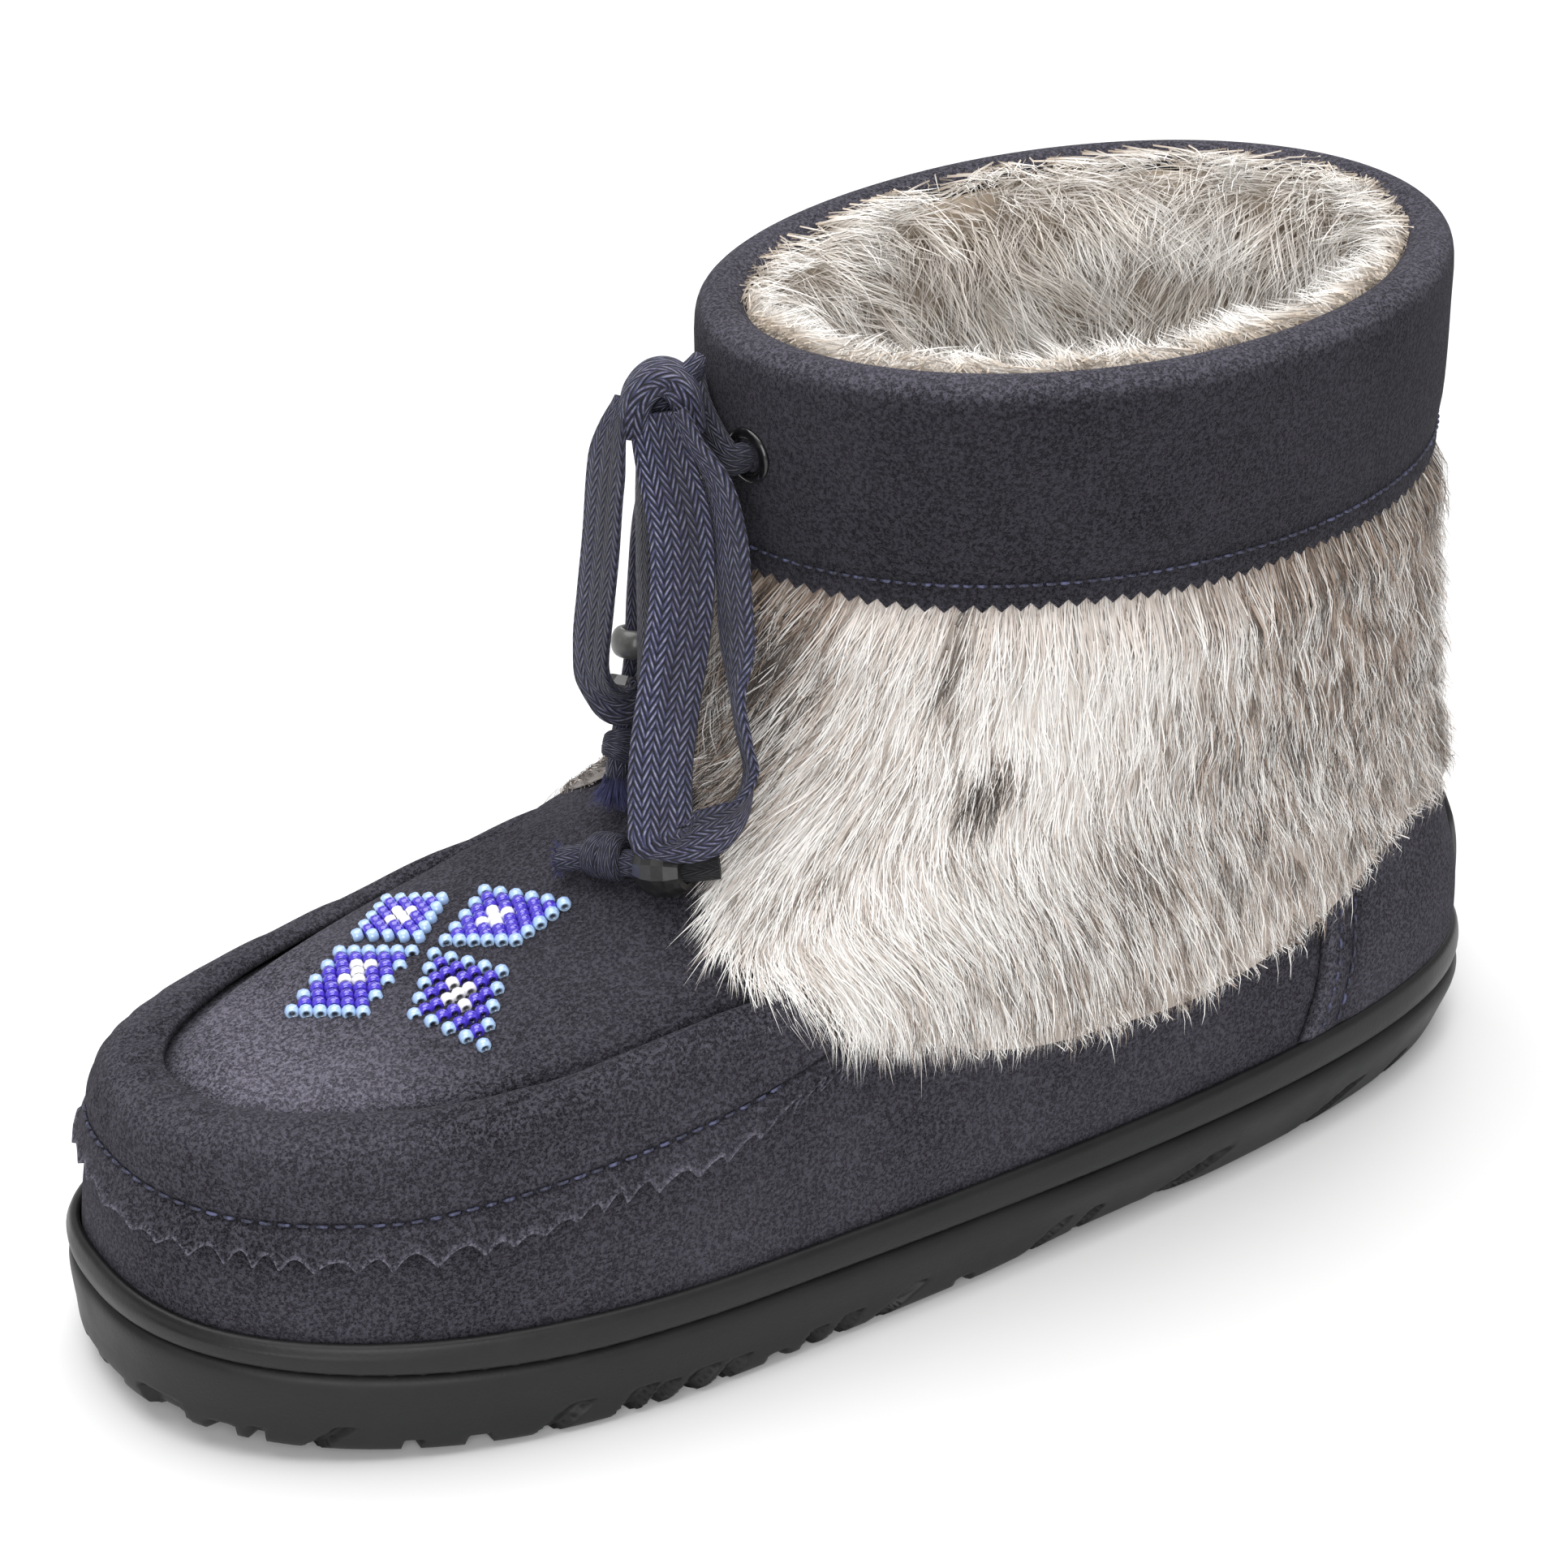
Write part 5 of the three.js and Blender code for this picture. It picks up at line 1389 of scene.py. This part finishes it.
class BOOT_OT_fur(bpy.types.Operator):
    """Fur band: hide with underfur, and hairs that lie down over it past the hem."""

    bl_idname = "boot.fur"
    bl_label = "Fur band"

    def execute(self, context):
        tones, longest = shades("fur_light", "fur_brown", "fur_dark"), sizes()["hair_length"]
        d = even_angles(160, 7)[:, None]
        low = at(FUR_EDGE, around(d))
        rings = blend(low, FUR_TOP, np.linspace(0, 1, 26)[None])
        turn = np.broadcast_to(d, rings.shape)
        bundle = ring_shell(strip(rings, turn, 3 * GAP, 0.72 * fur_depth(rings, turn)))
        tint = np.concatenate([self.chart(rings, turn, *tones)] * 2, 1)
        coat = tinted_finish("Fur", rough=0.6, specular=0.25)
        piece("fur_hide", tinted(bundle, tint), coat, ("fur_band",))
        rng = np.random.default_rng(11)
        for k in range(3):
            piece(f"fur_hair_{k + 1}", self.hairs(rng, tones, longest, k), coat)
        return {"FINISHED"}

    def zones(self, ring, degrees):
        """Shares of brown coat towards the heel, dark mix by the lace, dark and white spots."""
        a = around(degrees)
        patch = lambda r, t, wide, tall: bell(ring - r, tall) * bell(degrees - t, wide)
        brown = smooth((a - 70) / 36) * (0.62 + 0.38 * smooth((ring - 4.2) / 3.0))
        lace = smooth((33 - a) / 15) * smooth((ring - 5.4) / 1.0)
        # The dark spots are painted shade: shadow patches among the locks, drawn as dark hairs and
        # dark underfur. The inner-front term darkens the fur behind the lace
        spot = 1.3 * patch(7.45, 57, 4.2, 0.28) + 0.7 * patch(8.75, 46.5, 1.6, 0.35)
        spot = spot + 0.3 * patch(6.7, 44, 4.0, 0.4) + 0.8 * patch(7.2, -64, 5.0, 0.3)
        spot = spot + 0.5 * patch(6.3, -96, 6.0, 0.5)
        spot = spot + 0.9 * inner_front(degrees) * smooth((7.9 - ring) / 0.5)
        white = patch(5.85, 77, 7.0, 0.45) + 0.8 * patch(8.1, 62, 9.0, 0.5)
        white = white + patch(6.4, -80, 9.0, 0.6)
        return brown, lace, np.clip(spot, 0, 1), np.clip(white, 0, 1)

    def chart(self, ring, degrees, light, mid, dark):
        """Underfur colour by place: light in front, brown towards the heel, dark by the lace."""
        brown, lace, spot, white = [v[..., None] for v in self.zones(ring, degrees)]
        share = np.clip(0.35 + 0.6 * brown + 0.3 * lace - 0.25 * white, 0, 1)
        deep = np.clip(0.04 + 0.24 * brown + 0.32 * lace + 0.8 * spot, 0, 1)
        return blend(blend(light, mid, share), dark, deep)

    def hairs(self, rng, tones, longest, layer, count=FUR_HAIRS, locks=FUR_LOCKS):
        """Hairs in locks that run down the band, drawn together a little towards their tips.

        A hair is cut short where its tip would hang further past the hem than its own allowance.
        """
        # Roots of the locks, a share of them close under the cuff
        share, fall = rng.uniform(0, 1, (2, locks))
        fall = np.where(rng.uniform(0, 1, locks) < 0.12, rng.uniform(0.93, 1.0, locks), fall)
        turn = turn_at(np.full(locks, 7.0), share)
        for _ in range(4):
            low = at(FUR_EDGE, around(turn))
            ring = low + 0.03 + (9.14 - low) * fall ** (1.0 if layer else 1.25)
            turn = turn_at(ring, share)
        # Length and lean of the locks
        away, inside = around(turn), inner_front(turn)
        length = longest * rng.uniform(0.65, 1.0, locks) * (1 - 0.45 * smooth((away - 88) / 40))
        length = length * (1 - 0.55 * inside)
        lean = 0.1 * smooth((away - 70) / 20) * smooth((128 - away) / 20)
        lean = np.where(turn > 0, 1.0, -1.0) * (lean - 0.42 * smooth((66 - away) / 40))
        lean = lean * (1 - 1.4 * inside) + 0.05 * np.sin(0.23 * turn + 2.1 * ring)
        lean = lean + rng.normal(0, 0.12, locks)
        rings, shares = flow(ring, share, length, lean, 0.8 * smooth((away - 58) / 16), 3)
        tall = np.clip(length / np.maximum(rings[:, 0] - rings[:, -1], 0.05), 5.0, 40.0)
        # Hairs picked from the locks and cut at the hem
        pick = rng.integers(0, locks, count)
        rings, shares, tall, inside = rings[pick], shares[pick], tall[pick][:, None], inside[pick]
        near = smooth((72 - away) / 20)[pick] * (turn[pick] > 0)
        past = rng.normal(0.2, 1.5, locks)[pick] + rng.normal(0, 1.2, count)
        past = past + 2.8 * near - 8.0 * inside
        past = past + (rng.uniform(0, 1, count) < 0.03) * rng.uniform(2, 7, count) * (1 - inside)
        hem = at(FUR_EDGE, around(turn_at(rings[:, -1], shares[:, -1])))[:, None]
        drop = np.maximum(rings[:, :1] - rings[:, -1:], 0.01)
        reach = np.clip((rings[:, :1] - hem + past[:, None] / tall) / drop, 0.16, 1.0)
        rings, shares = blend(rings[:, :1], rings, reach), blend(shares[:, :1], shares, reach)
        # Spread within the lock, and height over the hide
        t = np.linspace(0, 1, 4)[None]
        spread = rng.normal(0, 0.7, (2, count, 1))
        stray = rng.normal(0, 0.7, (count, 1)) * (1 + 1.2 * near[:, None]) * t ** 1.5
        girth = np.interp(rings[:, :1], ARC_RINGS, ARC_GIRTHS)
        shares = shares + (spread[0] * (1 - 0.75 * t) + stray) / girth
        rings = np.clip(rings + spread[1] / tall * (1 - t), 1.3, 9.2)
        turns = turn_at(rings, shares)
        over = fur_depth(rings, turns)
        lift = np.abs(rng.normal(0, 1.0, (count, 1))) * (0.7 + 0.45 * layer)
        lift = lift * (1 - 0.8 * inside)[:, None]
        rise = np.maximum(np.sin(0.5 * math.pi * np.minimum(1.3 * t, 1.0)),
                          smooth((rings[:, :1] - 8.6) / 0.25))
        height = 0.3 * over * (1 - t) + (0.72 * over + lift) * rise
        droop = smooth((at(FUR_EDGE, around(turns)) - rings) / 0.3)
        height = height * (1 - 0.35 * droop) + 0.9 * droop
        height = np.minimum(height, 1.0 + 6.0 * smooth((9.15 - rings) / 0.45) + 0.5 * t)
        lot = np.where(rng.uniform(0, 1, count) < 0.8, rng.uniform(0, 1, locks)[pick],
                       rng.uniform(0, 1, count))
        tone = self.coat(rng, rings, turns, lot, *tones)
        return hair(off(rings, turns, height), normal(rings, turns),
                    rng.uniform(0.13, 0.33, count), tone, rng.uniform(-0.45, 0.45, count))

    def coat(self, rng, rings, turns, lot, light, mid, dark):
        """Hair colours: light, banded and dark hairs drawn by lot, by shares from the zones."""
        brown, lace, spot, white = self.zones(rings[:, 1:2], turns[:, 1:2])
        dark_share = 0.065 + 0.24 * brown + 0.32 * lace + 0.85 * spot - 0.05 * white
        mid_share = 0.19 + 0.06 * brown + 0.1 * lace - 0.1 * white
        deep = lot[:, None] < dark_share
        banded = ~deep & (lot[:, None] < dark_share + mid_share)
        more = np.maximum(brown, lace)
        shade = np.where(deep, blend(mid, dark, 0.6 + 0.4 * np.maximum(more, spot)), light)
        shade = np.where(banded, blend(light, mid, 0.6 + 0.4 * more), shade)
        tone = np.broadcast_to(shade[:, None], rings.shape + (3,))
        # Hair roots darker: partly the underfur's own darker colour, partly painted shade deep
        # among the hairs
        root = blend(light, mid, np.clip(0.7 + 0.4 * more - 0.35 * white, 0, 1))
        root = blend(root, dark, np.clip(0.2 * more + 0.7 * spot, 0, 1))
        tone = blend(tone, root[:, None], np.array([0.85, 0.4, 0.0, 0.0])[None, :, None])
        tip = np.where(deep | banded, 0.15, 0.0) * np.array([0.0, 0.0, 0.3, 1.0])[None]
        tone = blend(tone, light, (tip * (1 - 0.8 * spot))[..., None])
        fade = rng.uniform(0.86, 1.03, len(rings))[:, None] * (1 - 0.05 * brown)
        return np.clip(tone * fade[..., None], 0, 1)


class BOOT_OT_lining(bpy.types.Operator):
    """Plush lining of the shaft: a backing cloth and pile in soft tufts."""

    bl_idname = "boot.lining"
    bl_label = "Lining"

    def execute(self, context):
        (light, deep), longest = shades("lining", "lining_shade"), sizes()["lining_length"]
        turn = even_angles(110, 9)
        rings, d = np.broadcast_arrays(np.linspace(0.7, 9.75, 30)[None], turn[:, None])
        wall = ring_shell(strip(rings, d, -WALL - 2.0, -WALL - 0.2))
        facing = [cuff_point(turn, out, COLLAR + z) for out, z in (
            (-5.25, -9.5), (-5.25, -0.5), (-4.2, 2.4), (-4.0, 2.0), (-5.05, -0.5), (-5.05, -9.5))]
        bundle = joined([wall, ring_shell(np.stack(facing, 1))])
        plush = tinted_finish("Plush", rough=0.85, specular=0.1, sheen=0.1)
        # The backing cloth and the facing under the rim are painted in the lining's shade colour
        piece("lining_cloth", tinted(bundle, np.broadcast_to(deep, bundle[0].shape)), plush)
        rng = np.random.default_rng(23)
        for k in range(2):
            piece(f"lining_pile_{k + 1}", self.pile(rng, light, deep, longest), plush)
        return {"FINISHED"}

    def pile(self, rng, light, deep, longest, count=PILE_HAIRS, tufts=PILE_TUFTS):
        """Pile in tufts off the wall and the cuff's turned-in edge, each leaning its own way."""
        # Roots of the tufts and the ways they lean
        turn = even_angles(4000, 9)[rng.integers(0, 4000, tufts)]
        height = COLLAR + 2.6 - 62.0 * rng.uniform(0, 1, tufts) ** 1.5
        high = height > COLLAR - 9.5
        ring = np.where(height > SHAFT_FOOT, 9 + (height - SHAFT_FOOT) / (COLLAR - SHAFT_FOOT),
                        7.0 + 2.0 * smooth((height - 92) / 38))
        ring = np.clip(ring, 6.4, 9.95)
        rim = smooth((height - COLLAR + 6) / 7)
        inward = -normal(np.minimum(ring, 9.8), turn)
        up = unit(face(np.minimum(ring + 0.05, 10), turn) - face(ring - 0.05, turn))
        side = np.cross(up, inward)
        drift = 0.6 * np.sin(0.11 * turn + 0.09 * height) + rng.normal(0, 0.6, tufts)
        rise = 0.5 * rim - 0.6 * (1 - rim) + rng.normal(0, 0.25, tufts)
        lean = unit(rise[:, None] * up + 0.8 * inward + drift[:, None] * side)
        band = cuff_point(turn, 1.0 * smooth((height - COLLAR) / 3.0) - 4.9, height)
        base = np.where(high[:, None], band, off(ring, turn, -WALL - 1.4))
        # Painted light on the pile: tufts on the toe and heel sides of the opening painted lighter
        # and those on the sides darker, with a painted wave of light and shade
        shade = 0.3 * np.sin(0.085 * turn + 0.4) * np.cos(0.11 * height)
        shade = 0.42 + 0.55 * np.cos(np.radians(turn)) ** 2 + shade
        shade = smooth(shade + rng.normal(0, 0.3, tufts))
        # Hairs of the tufts, spread, waved and hanging
        pick = rng.integers(0, tufts, count)
        spread = rng.normal(0, 1.0, (2, count, 1))
        t = np.linspace(0, 1, 4)[None, :, None]
        size = longest * rng.uniform(0.75, 1.2, tufts) * (1 - 0.26 * rim)
        length = (size[pick] * rng.uniform(0.75, 1.1, count))[:, None, None]
        across = spread[0] * side[pick] + spread[1] * up[pick]
        wave = rng.normal(0, 1.3, tufts)[pick][:, None, None] * np.sin(math.pi * t)
        paths = base[pick][:, None] + across[:, None] * (2.5 * (1 - 0.5 * t))
        paths = paths + lean[pick][:, None] * length * t + wave * side[pick][:, None]
        paths = paths + rng.normal(0, 1.0, (count, 1, 3)) * t ** 1.5
        z = paths[..., 2] - (0.15 * length * t ** 2)[..., 0]
        top = COLLAR + 4.2
        paths[..., 2] = np.where(z > top, top + 0.25 * (z - top), z)
        # Painted shade at the roots: each hair runs from the lining's shade colour to its tip
        # colour, tips of tufts in shade kept darker and those near the rim painted lighter
        share = np.array([0.05, 0.55, 0.92, 1.0])[None] * (
            0.5 + 0.5 * np.maximum(shade, rim)[pick])[:, None]
        tone = blend(deep, light, share[..., None])
        tone = np.clip(tone * rng.uniform(0.88, 1.06, count)[:, None, None], 0, 1)
        return hair(paths, np.broadcast_to(inward[pick][:, None], paths.shape),
                    rng.uniform(0.2, 0.38, count), tone, rng.uniform(-0.8, 0.8, count))


class BOOT_OT_cuff(bpy.types.Operator):
    """Suede cuff folded over the collar's rim, with its pinked hem and stitching."""

    bl_idname = "boot.cuff"
    bl_label = "Cuff"

    def execute(self, context):
        girth = run_along(face(np.full(3000, 9.0), np.linspace(-180, 180, 3000)))[-1]
        teeth = int(round(girth / sizes()["tooth_pitch"]))
        d = even_angles(4 * teeth, 9)
        step = np.arange(4 * teeth)
        saw = np.abs((step / 4.0 + 0.5) % 1.0 - 0.5) * 2.0
        hem = CUFF_HEM + 1.5 * saw + 0.25 * np.sin(step * 0.107)
        wave = 0.25 * np.sin(np.radians(d) * 5 + 0.7) + 0.2 * np.sin(np.radians(d) * 11)
        keys = [(CUFF_OUT - 0.1, hem), (CUFF_OUT + 0.1, hem + 1.2), (CUFF_OUT - 0.15, 133.6),
                (CUFF_OUT + 0.35 + wave, 140.0), (CUFF_OUT + 0.4 + wave, 148.0),
                (CUFF_OUT + 0.3, 157.0), (CUFF_OUT, COLLAR), (2.7, COLLAR + 3.2),
                (-0.5, COLLAR + 4.4), (-3.6, COLLAR + 3.0), (-5.0, COLLAR), (-5.0, COLLAR - 9.0)]
        outer = along(np.stack([cuff_point(d, out, z) for out, z in keys]), np.concatenate([
            [0, 0.3, 0.7], np.linspace(1, 6, 16)[:-1], np.linspace(6, 11, 22)]))
        back = [(-WALL - 0.45, COLLAR - 9.0), (-WALL - 0.45, COLLAR + 0.45),
                (CUFF_IN, COLLAR + 0.45), (CUFF_IN, hem + 0.15)]
        inner = np.stack([cuff_point(d, out, z) for out, z in back])
        profiles = np.concatenate([outer, inner]).transpose(1, 0, 2)
        z = profiles[..., 2]
        # Painted light on the cuff: the band painted darker as painted shade on its front, the
        # rolled top painted lighter as a painted highlight, painted shade along the stitch line,
        # and the hem's cut edge pale
        painted_light_and_edge = 0.58 + 0.8 * smooth((z - COLLAR - 0.5) / 3.0) - 0.25 * bell(z - CUFF_STITCH, 0.7)
        painted_light_and_edge[:, 0] = 1.5
        piece("cuff_band", tinted(ring_shell(profiles), painted_light_and_edge), suede_finish(), ("cuff",))
        line = cuff_point(even_angles(1500, 9), CUFF_OUT + 0.05, CUFF_STITCH)
        up = line - np.array([SHAFT_X, SHAFT_Y, CUFF_STITCH])
        stitches = stitch_row(line, up, margins=(0.0, 2.5), pitch=2.3, length=1.75, radius=0.3)
        piece("cuff_stitches", stitches, thread_finish())
        return {"FINISHED"}


class BOOT_OT_eyelets(bpy.types.Operator):
    """Two lacquered eyelets in the front of the cuff."""

    bl_idname = "boot.eyelets"
    bl_label = "Eyelets"

    def execute(self, context):
        metal = glossy_finish("Eyelet lacquer", linear(26, 26, 28), rough=0.25, metal=0.6,
                              coat=0.7)
        bore = EYELET_BORE
        a = np.linspace(-0.4, math.pi + 0.3, 12)
        lip = np.stack([bore + 1.15 - 1.0 * np.cos(a), 0.6 + 0.75 * np.sin(a)], -1)
        profile = np.concatenate([[[bore, -2.0]], lip, [[bore + 1.1, 0.3], [bore + 1.1, -2.0]]])
        for name, d in EYELETS:
            centre = cuff_point(d, CUFF_OUT, EYELET_HEIGHT)
            way = unit(cuff_point(d, CUFF_OUT + 5, EYELET_HEIGHT) - centre)
            piece(f"eyelet_ring_{name}", turned(lathe(profile, 36), centre, way), metal,
                  (f"eyelet_{name}",))
        return {"FINISHED"}


class BOOT_OT_seed_beads(bpy.types.Operator):
    """Four lozenges of glass seed beads sewn on the plug."""

    bl_idname = "boot.seed_beads"
    bl_label = "Seed beads"

    def execute(self, context):
        size = sizes()["seed_bead"]
        blue, violet, white = shades("bead_blue", "bead_violet", "bead_white")
        glass = tinted_finish("Seed glass", rough=0.12, specular=0.6, coat=0.8)
        r, h, hole, lift = 0.5 * size, 0.36 * size, 0.4, GAP + 0.5 * size + 0.1
        base = lathe([[hole, -0.8 * h], [0.72 * r, -h], [r, -0.45 * h], [r, 0.45 * h],
                      [0.72 * r, h], [hole, 0.8 * h]], 9)
        # Painted light on each bead: its rims painted lighter as painted highlights and its hole
        # ends nearly black as painted shade
        shine = np.tile([0.12, 1.35, 0.9, 0.9, 1.35, 0.12], 9)
        for number, corners, across, tall, centre, rising in LOZENGES:
            # Rows of beads with others in the gaps between four, and their colours
            i, j = np.meshgrid(np.arange(float(across)), np.arange(float(tall)), indexing="ij")
            u = np.concatenate([i.ravel(), i[:-1, :-1].ravel() + 0.5])
            v = np.concatenate([j.ravel(), j[:-1, :-1].ravel() + 0.5])
            border = (u == 0) | (u == across - 1) | (v == 0) | (v == tall - 1)
            cross = np.maximum(np.abs(u - centre[0]), np.abs(v - centre[1])) < 0.6
            tint = np.where(border[:, None], blue, np.where(cross[:, None], white, violet))
            # Their places on the plug, and their holes along the rows
            corner = np.array(corners, float)
            s, t = (u / (across - 1))[:, None], (v / (tall - 1))[:, None]
            mix = lambda ends: ((1 - s) * (1 - t) * ends[0] + s * (1 - t) * ends[1]
                                + s * t * ends[2] + (1 - s) * t * ends[3])
            spot = over_plan(mix(face(corner[:, 1], corner[:, 0]))[:, :2], mix(corner))
            p, n = off(spot[:, 1], spot[:, 0], lift), normal(spot[:, 1], spot[:, 0])
            a, b, _, e = off(corner[:, 1], corner[:, 0], lift)
            way = unit((b - a) / (across - 1) + (e - a) / (tall - 1) * (1 if rising else -1))
            axis = unit(way - np.sum(way * n, -1, keepdims=True) * n)
            frames = np.stack([np.cross(n, axis), n, axis], 1)
            points = np.einsum("ij,bjk->bik", base[0], frames) + p[:, None]
            bundle = shell(points, copied(base[1], len(base[0]), len(u)),
                           tint=np.clip(tint[:, None] * shine[None, :, None], 0, 1))
            piece(f"seed_beads_{number}", bundle, glass, (f"bead_lozenge_{number}",))
        return {"FINISHED"}


class BOOT_PT_panel(bpy.types.Panel):
    """Boot pieces in the sidebar."""

    bl_idname = "BOOT_PT_panel"
    bl_label = "Moccasin boot"
    bl_space_type = "VIEW_3D"
    bl_region_type = "UI"
    bl_category = "Boot"

    def draw(self, context):
        for group in (context.scene.boot_sizes, context.scene.boot_colours):
            box = self.layout.box()
            for key in group.__annotations__:
                box.prop(group, key)
        for operator in OPERATORS:
            self.layout.operator(operator.bl_idname)


OPERATORS = (BOOT_OT_stage, BOOT_OT_lace, BOOT_OT_lace_beads, BOOT_OT_outsole, BOOT_OT_rand,
             BOOT_OT_insole, BOOT_OT_upper, BOOT_OT_apron, BOOT_OT_heel_counter, BOOT_OT_fur,
             BOOT_OT_lining, BOOT_OT_cuff, BOOT_OT_eyelets, BOOT_OT_seed_beads)
CLASSES = (BootSizes, BootColours) + OPERATORS + (BOOT_PT_panel,)


def register():
    """Adds the boot's classes and its scene settings."""
    for cls in CLASSES:
        bpy.utils.register_class(cls)
    bpy.types.Scene.boot_sizes = bpy.props.PointerProperty(type=BootSizes)
    bpy.types.Scene.boot_colours = bpy.props.PointerProperty(type=BootColours)


def unregister():
    """Takes them away again."""
    del bpy.types.Scene.boot_colours
    del bpy.types.Scene.boot_sizes
    for cls in reversed(CLASSES):
        bpy.utils.unregister_class(cls)


def main():
    """Builds the stage and every piece in order."""
    register()
    for operator in OPERATORS:
        group, name = operator.bl_idname.split(".")
        getattr(getattr(bpy.ops, group), name)()


if __name__ == "__main__":
    main()
